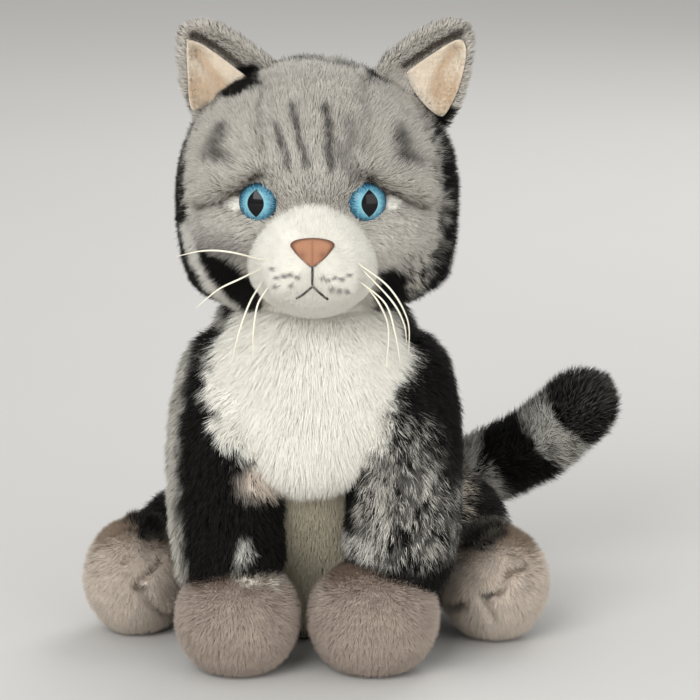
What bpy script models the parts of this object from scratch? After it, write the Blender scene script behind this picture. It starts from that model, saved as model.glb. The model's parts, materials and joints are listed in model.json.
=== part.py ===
"""A sitting plush cat: fabric panels sewn round fibre stuffing, with a weighted seat,
plastic eyes on washers and bristle whiskers.

Metres, +Z up. The cat looks along -Y, so its own left side is +X. The origin is the
middle of the flat base that it sits on.
"""

import math

import bmesh
import bpy
from mathutils import Matrix, Vector
from mathutils.bvhtree import BVHTree

# Fabric and fits
PANEL = 0.0015  # a panel's backing with its pile pressed flat
SEAM_GAP = 0.0003  # between pieces that lie against each other
JOINT_GAP = 0.00095  # round a piece that swings in its socket

# Head
HEAD_WIDTH = 0.110
HEAD_DEPTH = 0.096
HEAD_HEIGHT = 0.102
HEAD_FORWARD = 0.046  # of the base's middle
HEAD_RISE = 0.199
CROWN_WIDTH = 0.036  # the forehead strip between its two seams
BACK_SEAM_SET_BACK = 0.010  # from the head's middle
CHIN_SEAM_DROP = 0.014  # below the head's middle

# Muzzle, nose and mouth
MUZZLE_WIDTH = 0.054
MUZZLE_DEPTH = 0.050
MUZZLE_HEIGHT = 0.046
MUZZLE_FORWARD = 0.038  # of the head's middle
MUZZLE_DROP = 0.018  # below the head's middle
NOSE_WIDTH = 0.017
NOSE_HEIGHT = 0.011
NOSE_PAD = 0.0022
NOSE_RISE = 0.006  # of the nose's middle above the muzzle's
THREAD_RADIUS = 0.0005
LIP_DROP = 0.008  # from the nose down to where the mouth parts
SMILE_WIDTH = 0.014
SMILE_DROP = 0.0045

# Eyes
EYE_DIAMETER = 0.0165
EYE_DOME = 0.0062
EYE_RIM = 0.0012
EYE_SPACING = 0.0446
EYE_RISE = 0.003  # above the head's middle
SHANK_DIAMETER = 0.0036
SHANK_LENGTH = 0.012
WASHER_DIAMETER = 0.0160
WASHER_THICKNESS = 0.0012
WASHER_DEPTH = 0.0046  # below the fabric, where it clamps

# Whiskers: routes chosen by hand on the cat's left and right cheek
WHISKER_RADIUS = 0.00028
WHISKERS_LEFT = (
    (
        (0.018, 0.179),
        (0.031, -0.112, 0.171),
        (0.0385, -0.109, 0.157),
        (0.0392, -0.105, 0.1425),
    ),
    (
        (0.02, 0.1765),
        (0.032, -0.114, 0.166),
        (0.037, -0.111, 0.156),
        (0.0382, -0.108, 0.1475),
    ),
    (
        (0.019, 0.172),
        (0.0295, -0.11, 0.164),
        (0.0336, -0.109, 0.151),
        (0.0357, -0.104, 0.138),
    ),
    (
        (0.0205, 0.17),
        (0.0268, -0.108, 0.164),
        (0.0308, -0.106, 0.153),
        (0.03, -0.102, 0.136),
    ),
)
WHISKERS_RIGHT = (
    (
        (-0.019, 0.18),
        (-0.033, -0.109, 0.185),
        (-0.044, -0.106, 0.185),
        (-0.055, -0.102, 0.182),
    ),
    (
        (-0.02, 0.177),
        (-0.029, -0.111, 0.1745),
        (-0.038, -0.111, 0.17),
        (-0.047, -0.108, 0.162),
    ),
    (
        (-0.02, 0.1715),
        (-0.025, -0.109, 0.165),
        (-0.0295, -0.109, 0.153),
        (-0.033, -0.105, 0.139),
    ),
    (
        (-0.018, 0.169),
        (-0.0222, -0.107, 0.163),
        (-0.024, -0.107, 0.152),
        (-0.0245, -0.103, 0.14),
    ),
)

# Ears, as the places of their corners beside and above the head's middle
EAR_INNER = (0.021, 0.045)
EAR_SHOULDER = (0.034, 0.058)
EAR_TIP = (0.047, 0.060)
EAR_OUTER = (0.044, 0.028)
EAR_CORNER_RADIUS = 0.0055
EAR_SET_BACK = 0.005
EAR_THICKNESS = 0.009
EAR_WALL = 0.0022
EAR_HEM = 0.0025  # the shell's rim round the lining
LINING = 0.0014

# Neck
NECK_RADIUS = 0.0225
NECK_FORWARD = 0.038
NECK_RISE = 0.147

# Torso: a chest, a waist and a seat drawn into one pear
CHEST_WIDTH = 0.096
CHEST_DEPTH = 0.078
CHEST_HEIGHT = 0.084
CHEST_FORWARD = 0.034
CHEST_RISE = 0.112
WAIST_WIDTH = 0.104
WAIST_DEPTH = 0.090
WAIST_HEIGHT = 0.084
WAIST_FORWARD = 0.012
WAIST_RISE = 0.076
SEAT_WIDTH = 0.100
SEAT_DEPTH = 0.084
SEAT_HEIGHT = 0.096
SEAT_SINK = 0.012  # how far the seat is pressed flat on the floor
FRONT_WIDTH = 0.052  # of the bib and the belly between their side seams
BIB_SEAM_FORWARD = 0.042
BELLY_SEAM_FORWARD = 0.022
BELLY_SEAM_RISE = 0.070

# Weighted bag in the seat
BAG_WIDTH = 0.068
BAG_DEPTH = 0.058
BAG_HEIGHT = 0.036

# Front legs
SHOULDER_RADIUS = 0.0220
SHOULDER_SPACING = 0.075
SHOULDER_FORWARD = 0.048
SHOULDER_RISE = 0.119
WRIST_RADIUS = 0.0195
WRIST_SPACING = 0.067
WRIST_FORWARD = 0.068
WRIST_RISE = 0.047
LEG_FORWARD_DEG = 20.0
LEG_BACK_DEG = 6.0

# Front paws
PAW_WIDTH = 0.049
PAW_DEPTH = 0.050
PAW_HEIGHT = 0.046
PAW_SPACING = 0.057
PAW_SHIFT = -0.0035  # both paws rest a little towards the cat's right
PAW_FORWARD = 0.076
PAW_SINK = 0.0012

# Hind legs and feet
HIP_RADIUS = 0.031
HIP_SPACING = 0.100
HIP_BACK = 0.005
HIP_RISE = 0.033
ANKLE_RADIUS = 0.016
ANKLE_INSET = 0.005  # from the foot's middle towards the body
ANKLE_BACK = 0.010
ANKLE_RISE = 0.026
FOOT_WIDTH = 0.042
FOOT_DEPTH = 0.044
FOOT_HEIGHT = 0.048
FOOT_SPACING = 0.154
FOOT_FORWARD = 0.020
FOOT_STAGGER = 0.012  # how much further forward the left foot lies than the right
FOOT_SINK = 0.0012
FOOT_MOUTH_RADIUS = 0.010  # the opening by which a paw or a foot is stuffed

# Tail: its route from the rump, chosen by hand
TAIL_RADIUS = 0.0130
TAIL_ROUTE = (
    (0.012, 0.035, 0.040),
    (0.038, 0.054, 0.042),
    (0.068, 0.058, 0.050),
    (0.099, 0.054, 0.066),
    (0.119, 0.048, 0.086),
)
TAIL_MOUTH_RADIUS = 0.008
TAIL_UP_DEG = 30.0
TAIL_DOWN_DEG = 10.0

# Fineness of the meshes
SEGMENTS = 16
RINGS = 8
SMALL_BALL = 0.012  # a ball of a lesser radius is drawn with fewer faces
SMALL_SEGMENTS = 12
SMALL_RINGS = 6
TUBE_SIDES = 12
TUBE_STATIONS = 9
WHISKER_SIDES = 4
WHISKER_STATIONS = 8
THREAD_SIDES = 5
REACH = 0.4  # longer than the cat, for cutting boxes

GRAY = ("gray_pile", (0.40, 0.37, 0.33, 1.0), 0.9)
BLACK = ("black_pile", (0.020, 0.017, 0.015, 1.0), 0.9)
WHITE = ("white_pile", (0.83, 0.81, 0.75, 1.0), 0.9)
TAUPE = ("taupe_pile", (0.33, 0.27, 0.22, 1.0), 0.9)
CREAM = ("cream_plush", (0.55, 0.42, 0.31, 1.0), 0.9)
SUEDE = ("nose_suede", (0.52, 0.28, 0.17, 1.0), 0.8)
THREAD = ("black_thread", (0.015, 0.012, 0.010, 1.0), 0.6)
BRISTLE = ("whisker_bristle", (0.80, 0.76, 0.66, 1.0), 0.35)
IRIS = ("eye_plastic", (0.10, 0.33, 0.47, 1.0), 0.08)
WASHER = ("washer_plastic", (0.70, 0.70, 0.68, 1.0), 0.5)
FIBRE = ("fibre_stuffing", (0.85, 0.85, 0.84, 1.0), 0.95)
PELLETS = ("pellet_bag", (0.62, 0.58, 0.50, 1.0), 0.85)

LEFT, RIGHT = 1, -1
SIDES = (("left", LEFT), ("right", RIGHT))


def clear_scene():
    for thing in list(bpy.data.objects):
        bpy.data.objects.remove(thing)


def material(finish):
    """The named material of a finish, made the first time it is asked for."""
    name, colour, roughness = finish
    made = bpy.data.materials.get(name)
    if made is None:
        made = bpy.data.materials.new(name)
        made.use_nodes = True
        shader = made.node_tree.nodes["Principled BSDF"]
        shader.inputs["Base Color"].default_value = colour
        shader.inputs["Roughness"].default_value = roughness
        shader.inputs["Metallic"].default_value = 0.0
        made.diffuse_color = colour
    return made


def pivot(name, place):
    """An empty on a joint's axis, which carries that body's pieces."""
    empty = bpy.data.objects.new(name, None)
    empty.location = place
    bpy.context.scene.collection.objects.link(empty)
    return empty


def object_of(shape, name="helper"):
    """A linked object with the bmesh as its mesh, faces pointing out."""
    bmesh.ops.recalc_face_normals(shape, faces=shape.faces)
    mesh = bpy.data.meshes.new(name)
    shape.to_mesh(mesh)
    shape.free()
    thing = bpy.data.objects.new(name, mesh)
    bpy.context.scene.collection.objects.link(thing)
    return thing


# Shapes


def ball(centre, width, depth, height):
    """An ellipsoid as its middle and its three half sizes."""
    return Vector(centre), Vector((width / 2, depth / 2, height / 2))


def round_ball(centre, radius):
    return ball(centre, 2 * radius, 2 * radius, 2 * radius)


def hull(balls, grow=0.0):
    """The closed convex skin drawn round some balls, each grown by the same amount."""
    shape = bmesh.new()
    for centre, half in balls:
        size = half + Vector((grow, grow, grow))
        small = max(half) < SMALL_BALL
        segments, rings = (SMALL_SEGMENTS, SMALL_RINGS) if small else (SEGMENTS, RINGS)
        for ring in range(rings + 1):
            polar = math.pi * ring / rings
            for step in range(segments if 0 < ring < rings else 1):
                turn = math.tau * step / segments
                reach = math.sin(polar)
                way = Vector((reach * math.cos(turn), reach * math.sin(turn), math.cos(polar)))
                shape.verts.new(centre + way * size)
    made = bmesh.ops.convex_hull(shape, input=shape.verts)
    spare = set(made["geom_interior"] + made["geom_unused"])
    inner = [thing for thing in spare if isinstance(thing, bmesh.types.BMVert)]
    bmesh.ops.delete(shape, geom=inner, context="VERTS")
    return object_of(shape)


def box(low, high):
    shape = bmesh.new()
    bmesh.ops.create_cube(shape, size=1.0)
    low, high = Vector(low), Vector(high)
    bmesh.ops.scale(shape, vec=high - low, verts=shape.verts)
    bmesh.ops.translate(shape, vec=(low + high) / 2, verts=shape.verts)
    return object_of(shape)


def above(height):
    """Everything over a level."""
    return box((-REACH, -REACH, height), (REACH, REACH, REACH))


def turned(profile, place, facing):
    """A profile of (radius, height) pairs, first and last on the axis, turned about that axis."""
    shape = bmesh.new()
    rings = []
    for radius, height in profile:
        steps = SEGMENTS if radius > 0 else 1
        ring = []
        for step in range(steps):
            turn = math.tau * step / SEGMENTS
            ring.append(shape.verts.new((radius * math.cos(turn), radius * math.sin(turn), height)))
        rings.append(ring)
    skin(shape, rings, closed_ends=False)
    way = Vector(facing).to_track_quat("Z", "Y").to_matrix().to_4x4()
    shape.transform(Matrix.Translation(place) @ way)
    return object_of(shape)


def skin(shape, rings, closed_ends=True):
    """Faces between neighbouring rings of vertices, where a ring of one is a pole."""
    for first, second in zip(rings, rings[1:]):
        for step in range(max(len(first), len(second))):
            after = step + 1
            corners = [first[step % len(first)], first[after % len(first)]]
            corners += [second[after % len(second)], second[step % len(second)]]
            shape.faces.new(dict.fromkeys(corners))
    if closed_ends:
        shape.faces.new(rings[0])
        shape.faces.new(rings[-1])


def smooth_route(points, stations):
    """Evenly numbered places on a smooth curve through the points."""
    points = [Vector(point) for point in points]
    padded = [2 * points[0] - points[1], *points, 2 * points[-1] - points[-2]]
    route = []
    spans = len(points) - 1
    for station in range(stations + 1):
        along = spans * station / stations
        span = min(int(along), spans - 1)
        t = along - span
        a, b, c, d = padded[span : span + 4]
        bend, twist = 2 * a - 5 * b + 4 * c - d, 3 * b - a - 3 * c + d
        route.append((2 * b + (c - a) * t + bend * t**2 + twist * t**3) / 2)
    return route


def tube(route, radius, sides, round_ends=False):
    """A tube along a route, with flat or half-round ends."""
    ends = 3 if round_ends else 0
    places, radii = list(route), [radius] * len(route)
    first, last = (route[0] - route[1]).normalized(), (route[-1] - route[-2]).normalized()
    for step in range(1, ends + 1):
        angle = math.pi / 2 * step / ends
        small = radius * math.cos(angle) if step < ends else 0.0
        places = [route[0] + first * radius * math.sin(angle), *places]
        places.append(route[-1] + last * radius * math.sin(angle))
        radii = [small, *radii, small]
    shape = bmesh.new()
    rings = []
    side = Vector((0, 0, 1))
    for index, place in enumerate(places):
        onward = places[min(index + 1, len(places) - 1)] - places[max(index - 1, 0)]
        side = (side - side.project(onward)).normalized()
        other = onward.normalized().cross(side)
        ring = []
        for step in range(sides if radii[index] > 0 else 1):
            turn = math.tau * step / sides
            out = math.cos(turn) * side + math.sin(turn) * other
            ring.append(shape.verts.new(place + radii[index] * out))
        rings.append(ring)
    skin(shape, rings, closed_ends=not round_ends)
    return object_of(shape)


# Joining the shapes into pieces


def combine(target, other, operation):
    """One exact Boolean, applied, after which the other shape is thrown away."""
    change = target.modifiers.new("shape", "BOOLEAN")
    change.operation = operation
    change.solver = "EXACT"
    change.object = other
    bpy.context.view_layer.objects.active = target
    bpy.ops.object.modifier_apply(modifier=change.name)
    bpy.data.objects.remove(other)


def piece(name, start, finish, body, within=(), away=()):
    """A finished node: the start shape, kept inside some shapes and cut by others, on its body."""
    for shape in within:
        combine(start, shape, "INTERSECT")
    for shape in away:
        combine(start, shape, "DIFFERENCE")
    start.name = start.data.name = name
    start.data.materials.clear()
    start.data.materials.append(material(finish))
    start.data.transform(Matrix.Translation(-body.location))
    start.parent = body
    start.data.shade_smooth()
    start.data.set_sharp_from_angle(angle=math.radians(40))
    return start


# The balls that the soft parts are drawn round

HEAD = ball((0, -HEAD_FORWARD, HEAD_RISE), HEAD_WIDTH, HEAD_DEPTH, HEAD_HEIGHT)
MUZZLE = ball(
    (0, -HEAD_FORWARD - MUZZLE_FORWARD, HEAD_RISE - MUZZLE_DROP), MUZZLE_WIDTH, MUZZLE_DEPTH, MUZZLE_HEIGHT
)
NECK_AT = Vector((0, -NECK_FORWARD, NECK_RISE))
NECK = round_ball(NECK_AT, NECK_RADIUS)
CHEST = ball((0, -CHEST_FORWARD, CHEST_RISE), CHEST_WIDTH, CHEST_DEPTH, CHEST_HEIGHT)
SEAT = ball((0, 0, SEAT_HEIGHT / 2 - SEAT_SINK), SEAT_WIDTH, SEAT_DEPTH, SEAT_HEIGHT)
WAIST = ball((0, -WAIST_FORWARD, WAIST_RISE), WAIST_WIDTH, WAIST_DEPTH, WAIST_HEIGHT)
TORSO = (CHEST, WAIST, SEAT)
BAG = ball((0, 0, PANEL + SEAM_GAP + BAG_HEIGHT / 3), BAG_WIDTH, BAG_DEPTH, BAG_HEIGHT)
TAIL_AT = Vector(TAIL_ROUTE[0])


def shoulder_at(side):
    return Vector((side * SHOULDER_SPACING / 2, -SHOULDER_FORWARD, SHOULDER_RISE))


def leg_balls(side):
    wrist = (side * WRIST_SPACING / 2, -WRIST_FORWARD, WRIST_RISE)
    return round_ball(shoulder_at(side), SHOULDER_RADIUS), round_ball(wrist, WRIST_RADIUS)


def paw_ball(side):
    place = (side * PAW_SPACING / 2 + PAW_SHIFT, -PAW_FORWARD, PAW_HEIGHT / 2 - PAW_SINK)
    return ball(place, PAW_WIDTH, PAW_DEPTH, PAW_HEIGHT)


def foot_ball(side):
    back = -FOOT_FORWARD - side * FOOT_STAGGER / 2
    return ball(
        (side * FOOT_SPACING / 2, back, FOOT_HEIGHT / 2 - FOOT_SINK), FOOT_WIDTH, FOOT_DEPTH, FOOT_HEIGHT
    )


def haunch_balls(side):
    foot = foot_ball(side)[0]
    ankle = (foot.x - side * ANKLE_INSET, foot.y + ANKLE_BACK, ANKLE_RISE)
    hip = (side * HIP_SPACING / 2, HIP_BACK, HIP_RISE)
    return round_ball(hip, HIP_RADIUS), round_ball(ankle, ANKLE_RADIUS)


def swung(balls, about, axis, degrees):
    """The balls with their middles turned about a pivot."""
    turn = Matrix.Rotation(math.radians(degrees), 3, axis)
    return tuple((about + turn @ (centre - about), half) for centre, half in balls)


def leg_sweep(side):
    """The room that a front leg takes as it swings, from its furthest forward to its furthest back."""
    balls = leg_balls(side)
    forward = swung(balls, shoulder_at(side), "X", -LEG_FORWARD_DEG)
    back = swung(balls, shoulder_at(side), "X", LEG_BACK_DEG)
    return hull((*balls, *forward, *back), JOINT_GAP)


def tail_sweep():
    """The room that the tail's root takes as it lifts and droops."""
    root = tuple(round_ball(place, TAIL_RADIUS) for place in TAIL_ROUTE[:2])
    up = swung(root, TAIL_AT, "Y", -TAIL_UP_DEG)
    down = swung(root, TAIL_AT, "Y", TAIL_DOWN_DEG)
    return hull((*root, *up, *down), JOINT_GAP)


def front_of(balls):
    """A finder of places on the front of the skin round some balls, lifted off that skin."""
    skinned = hull(balls)
    shape = bmesh.new()
    shape.from_mesh(skinned.data)
    faces = BVHTree.FromBMesh(shape)
    shape.free()
    bpy.data.objects.remove(skinned)

    def place_at(across, height, lift=0.0):
        place, normal, *_ = faces.ray_cast(Vector((across, -REACH, height)), Vector((0, 1, 0)))
        return place + normal * lift

    return place_at


# Eyes


def eye_seat(side):
    """Where an eye's middle lies on the head's fabric, and the way it faces."""
    centre, half = HEAD
    across, height = side * EYE_SPACING / 2, EYE_RISE
    share = 1 - (across / half.x) ** 2 - (height / half.z) ** 2
    off = Vector((across, -half.y * math.sqrt(share), height))
    facing = Vector((off.x / half.x**2, off.y / half.y**2, off.z / half.z**2)).normalized()
    return centre + off, facing


def eye_shape(side, grow=0.0):
    """A domed eye with its shank, on the axis of its seat."""
    radius, foot = EYE_DIAMETER / 2 + grow, SEAM_GAP - grow
    steps = 5
    profile = [(0.0, foot + EYE_RIM + EYE_DOME + 2 * grow)]
    for step in range(1, steps + 1):
        angle = math.pi / 2 * step / steps
        height = foot + EYE_RIM + (EYE_DOME + 2 * grow) * math.cos(angle)
        profile.append((radius * math.sin(angle), height))
    shank = SHANK_DIAMETER / 2 + grow
    profile += [(radius, foot), (shank, foot), (shank, -SHANK_LENGTH - grow), (0.0, -SHANK_LENGTH - grow)]
    return turned(profile, *eye_seat(side))


def washer_shape(side):
    inner, outer = SHANK_DIAMETER / 2 + SEAM_GAP, WASHER_DIAMETER / 2
    top = -WASHER_DEPTH
    bottom = top - WASHER_THICKNESS
    disc = turned([(0.0, top), (outer, top), (outer, bottom), (0.0, bottom)], *eye_seat(side))
    bore = turned([(0.0, REACH), (inner, REACH), (inner, -REACH), (0.0, -REACH)], *eye_seat(side))
    combine(disc, bore, "DIFFERENCE")
    return disc


def eye_pocket(side):
    """The hollow in the stuffing that takes an eye's washer and shank."""
    wide, narrow = WASHER_DIAMETER / 2 + SEAM_GAP, SHANK_DIAMETER / 2 + SEAM_GAP
    floor, end = -WASHER_DEPTH - WASHER_THICKNESS - SEAM_GAP, -SHANK_LENGTH - SEAM_GAP
    over = EYE_DIAMETER
    profile = [(0.0, over), (wide, over), (wide, floor), (narrow, floor), (narrow, end), (0.0, end)]
    return turned(profile, *eye_seat(side))


def shank_hole(side):
    radius = SHANK_DIAMETER / 2 + SEAM_GAP
    ends = EYE_DIAMETER
    return turned([(0.0, ends), (radius, ends), (radius, -ends), (0.0, -ends)], *eye_seat(side))


def make_eyes(head):
    for name, side in SIDES:
        piece(f"eye_{name}", eye_shape(side), IRIS, head)
        piece(f"eye_washer_{name}", washer_shape(side), WASHER, head)


# Head


def head_shell():
    shell = hull([HEAD])
    combine(shell, hull([HEAD], -PANEL), "DIFFERENCE")
    return shell


def head_openings():
    """What every head panel is cut by: the neck, and the muzzle sewn into the face."""
    return hull([NECK], JOINT_GAP), hull([MUZZLE], SEAM_GAP)


def make_head_panels(head):
    half, gap = CROWN_WIDTH / 2, SEAM_GAP / 2
    seam_y = -HEAD_FORWARD + BACK_SEAM_SET_BACK
    seam_z = HEAD_RISE - CHIN_SEAM_DROP
    crown = box((-half + gap, -REACH, seam_z + gap), (half - gap, seam_y - gap, REACH))
    piece("head_crown_panel", head_shell(), GRAY, head, [crown], head_openings())
    chin = box((-half + gap, -REACH, 0), (half - gap, seam_y - gap, seam_z - gap))
    piece("head_chin_panel", head_shell(), GRAY, head, [chin], head_openings())
    back = box((-REACH, seam_y + gap, 0), (REACH, REACH, REACH))
    piece("head_back_panel", head_shell(), BLACK, head, [back], head_openings())
    for name, side in SIDES:
        low, high = sorted((side * (half + gap), side * REACH))
        cheek = box((low, -REACH, 0), (high, seam_y - gap, REACH))
        cuts = (*head_openings(), shank_hole(side))
        piece(f"head_cheek_panel_{name}", head_shell(), GRAY, head, [cheek], cuts)


def make_head_stuffing(head):
    cuts = [hull([NECK], JOINT_GAP), eye_pocket(LEFT), eye_pocket(RIGHT)]
    piece("head_stuffing", hull([HEAD], -PANEL - SEAM_GAP), FIBRE, head, away=cuts)


def make_muzzle(head):
    eyes = [eye_shape(side, SEAM_GAP) for side in (LEFT, RIGHT)]
    cuts = [hull([MUZZLE], -PANEL), hull([HEAD], -PANEL), *eyes]
    piece("muzzle_panel", hull([MUZZLE]), WHITE, head, away=cuts)
    cuts = [hull([HEAD], -PANEL), eye_pocket(LEFT), eye_pocket(RIGHT)]
    piece("muzzle_stuffing", hull([MUZZLE], -PANEL - SEAM_GAP), FIBRE, head, away=cuts)


def make_nose(head):
    """A padded triangle with its point down, seated on the muzzle."""
    middle = MUZZLE[0].z + NOSE_RISE
    corner = NOSE_PAD
    half, rise = NOSE_WIDTH / 2 - corner, NOSE_HEIGHT / 2 - corner
    spots = ((-half, rise), (half, rise), (0.0, -rise))
    muzzle_at = front_of([MUZZLE])
    pads = [round_ball(muzzle_at(x, middle + z), corner) for x, z in spots]
    piece("nose", hull(pads), SUEDE, head, away=[hull([MUZZLE], SEAM_GAP)])


def make_mouth(head):
    """Black thread: a stem under the nose, and a smile that parts from its foot."""
    lift = THREAD_RADIUS + SEAM_GAP
    muzzle_at = front_of([MUZZLE])
    top = MUZZLE[0].z + NOSE_RISE - NOSE_HEIGHT / 2 - SEAM_GAP
    foot = top - LIP_DROP
    steps = 4
    stem = [muzzle_at(0.0, top + (foot - top) * step / steps, lift) for step in range(steps + 1)]
    piece("mouth_stem_thread", tube(stem, THREAD_RADIUS, THREAD_SIDES), THREAD, head)
    smile = []
    for step in range(-steps, steps + 1):
        share = step / steps
        height = foot - 2 * THREAD_RADIUS - SEAM_GAP - SMILE_DROP * (1 - math.cos(math.pi * share)) / 2
        smile.append(muzzle_at(share * SMILE_WIDTH / 2, height, lift))
    piece("mouth_smile_thread", tube(smile, THREAD_RADIUS, THREAD_SIDES), THREAD, head)


def make_whiskers(head):
    muzzle_at = front_of([MUZZLE])
    for name, routes in (("left", WHISKERS_LEFT), ("right", WHISKERS_RIGHT)):
        for number, (root, *rest) in enumerate(routes, 1):
            start = muzzle_at(*root, WHISKER_RADIUS + SEAM_GAP)
            route = smooth_route((start, *rest), WHISKER_STATIONS)
            piece(f"whisker_{name}_{number}", tube(route, WHISKER_RADIUS, WHISKER_SIDES), BRISTLE, head)


def ear_balls(side, inset, forward, thickness):
    """The ear's outline as balls at its corners, drawn in by an inset and moved forward."""
    width = 2 * (EAR_CORNER_RADIUS - inset)
    balls = []
    for across, height in (EAR_INNER, EAR_SHOULDER, EAR_TIP, EAR_OUTER):
        place = (side * across, -HEAD_FORWARD + EAR_SET_BACK - forward, HEAD_RISE + height)
        balls.append(ball(place, width, thickness, width))
    return balls


def make_ears(head):
    """A shell hollowed from the front, and a lining that lies on the hollow's floor."""
    depth = EAR_THICKNESS - EAR_WALL
    floor_y = -HEAD_FORWARD + EAR_SET_BACK - EAR_THICKNESS / 2 + depth
    for name, side in SIDES:
        outline = ear_balls(side, 0.0, 0.0, EAR_THICKNESS)
        hollow = ear_balls(side, EAR_HEM, EAR_THICKNESS / 2, 2 * depth)
        cuts = [hull(hollow), hull([HEAD], SEAM_GAP)]
        piece(f"ear_shell_{name}", hull(outline), GRAY, head, away=cuts)
        layer = box((-REACH, floor_y - SEAM_GAP - LINING, 0), (REACH, REACH, REACH))
        lining = hull(hollow, -SEAM_GAP)
        piece(f"ear_lining_{name}", lining, CREAM, head, [layer], [hull([HEAD], SEAM_GAP)])


# Torso


def torso_cuts():
    """The sockets in the torso for the neck, the front legs and the tail."""
    return hull([NECK], JOINT_GAP), leg_sweep(LEFT), leg_sweep(RIGHT), tail_sweep()


def torso_shell():
    shell = hull(TORSO)
    combine(shell, hull(TORSO, -PANEL), "DIFFERENCE")
    return shell


def front_rooms(margin):
    """The rooms of the bib and the belly in the torso's skin, each drawn in by a margin."""
    half, floor = FRONT_WIDTH / 2 - margin, PANEL + SEAM_GAP
    middle, top = BELLY_SEAM_RISE, REACH
    bib = box((-half, -REACH, middle + margin), (half, -BIB_SEAM_FORWARD - margin, top))
    belly = box((-half, -REACH, floor), (half, -BELLY_SEAM_FORWARD - margin, middle - margin))
    return bib, belly


def make_torso_panels(torso):
    gap, floor = SEAM_GAP / 2, PANEL + SEAM_GAP
    bib, belly = front_rooms(gap)
    piece("chest_bib", torso_shell(), WHITE, torso, [bib], torso_cuts())
    piece("belly_panel", torso_shell(), WHITE, torso, [belly], torso_cuts())
    for name, side in SIDES:
        low, high = sorted((side * gap, side * REACH))
        room = box((low, -REACH, floor), (high, REACH, REACH))
        cuts = (*front_rooms(-gap), *torso_cuts())
        piece(f"side_panel_{name}", torso_shell(), BLACK, torso, [room], cuts)
    base = box((-REACH, -REACH, 0), (REACH, REACH, PANEL))
    piece("base_panel", hull(TORSO), GRAY, torso, [base])


def make_torso_filling(torso):
    floor = PANEL + SEAM_GAP
    room = [above(floor), hull(TORSO, -PANEL - SEAM_GAP)]
    piece("pellet_bag", hull([BAG]), PELLETS, torso, room)
    start = hull(TORSO, -PANEL - SEAM_GAP)
    cuts = (*torso_cuts(), hull([BAG], SEAM_GAP))
    piece("torso_stuffing", start, FIBRE, torso, [above(floor)], cuts)


def make_neck(neck):
    piece("neck_stuffing", hull([NECK]), FIBRE, neck)


# Limbs and tail


def stuffed_foot(names, shape, leg_end, body):
    """A ball-shaped foot, pressed flat below: its fabric, open at the leg's end, and its filling."""
    fabric, filling = names
    mouth = [round_ball(leg_end, FOOT_MOUTH_RADIUS), round_ball(shape[0], FOOT_MOUTH_RADIUS)]
    inside = hull([shape], -PANEL)
    combine(inside, above(PANEL), "INTERSECT")
    piece(fabric, hull([shape]), TAUPE, body, [above(0.0)], [inside, hull(mouth)])
    floor = above(PANEL + SEAM_GAP)
    piece(filling, hull([shape], -PANEL - SEAM_GAP), FIBRE, body, [floor])


def make_front_leg(name, side, body):
    leg, paw = leg_balls(side), paw_ball(side)
    cuts = [hull(leg, -PANEL), hull([paw], SEAM_GAP)]
    piece(f"front_leg_sleeve_{name}", hull(leg), BLACK, body, away=cuts)
    filling = hull(leg, -PANEL - SEAM_GAP)
    piece(f"front_leg_stuffing_{name}", filling, FIBRE, body, away=[hull([paw], SEAM_GAP)])
    stuffed_foot((f"front_paw_{name}", f"front_paw_stuffing_{name}"), paw, leg[1][0], body)


def make_hind_leg(name, side, torso):
    haunch, foot = haunch_balls(side), foot_ball(side)

    def seats():
        return [hull(TORSO, SEAM_GAP), hull([foot], SEAM_GAP), leg_sweep(side), tail_sweep()]

    piece(f"hind_leg_sleeve_{name}", hull(haunch), BLACK, torso, away=[hull(haunch, -PANEL), *seats()])
    piece(f"hind_leg_stuffing_{name}", hull(haunch, -PANEL - SEAM_GAP), FIBRE, torso, away=seats())
    stuffed_foot((f"hind_foot_{name}", f"hind_foot_stuffing_{name}"), foot, haunch[1][0], torso)


def make_tail(tail):
    route = smooth_route(TAIL_ROUTE, TUBE_STATIONS)
    mouth = TAIL_AT + (route[0] - route[1]).normalized() * TAIL_RADIUS
    opening = hull([round_ball(mouth, TAIL_MOUTH_RADIUS)])

    def limb(radius):
        return tube(route, radius, TUBE_SIDES, round_ends=True)

    piece("tail_sleeve", limb(TAIL_RADIUS), BLACK, tail, away=[limb(TAIL_RADIUS - PANEL), opening])
    piece("tail_stuffing", limb(TAIL_RADIUS - PANEL - SEAM_GAP), FIBRE, tail)


def build_cat():
    clear_scene()
    torso = pivot("torso_frame", (0, 0, 0))
    neck = pivot("neck_pivot", NECK_AT)
    head = pivot("head_pivot", NECK_AT)
    tail = pivot("tail_pivot", TAIL_AT)
    make_torso_panels(torso)
    make_torso_filling(torso)
    make_neck(neck)
    make_head_panels(head)
    make_head_stuffing(head)
    make_muzzle(head)
    make_nose(head)
    make_mouth(head)
    make_whiskers(head)
    make_eyes(head)
    make_ears(head)
    for name, side in SIDES:
        make_front_leg(name, side, pivot(f"front_leg_pivot_{name}", shoulder_at(side)))
        make_hind_leg(name, side, torso)
    make_tail(tail)


build_cat()
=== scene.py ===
import json
import math

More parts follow.
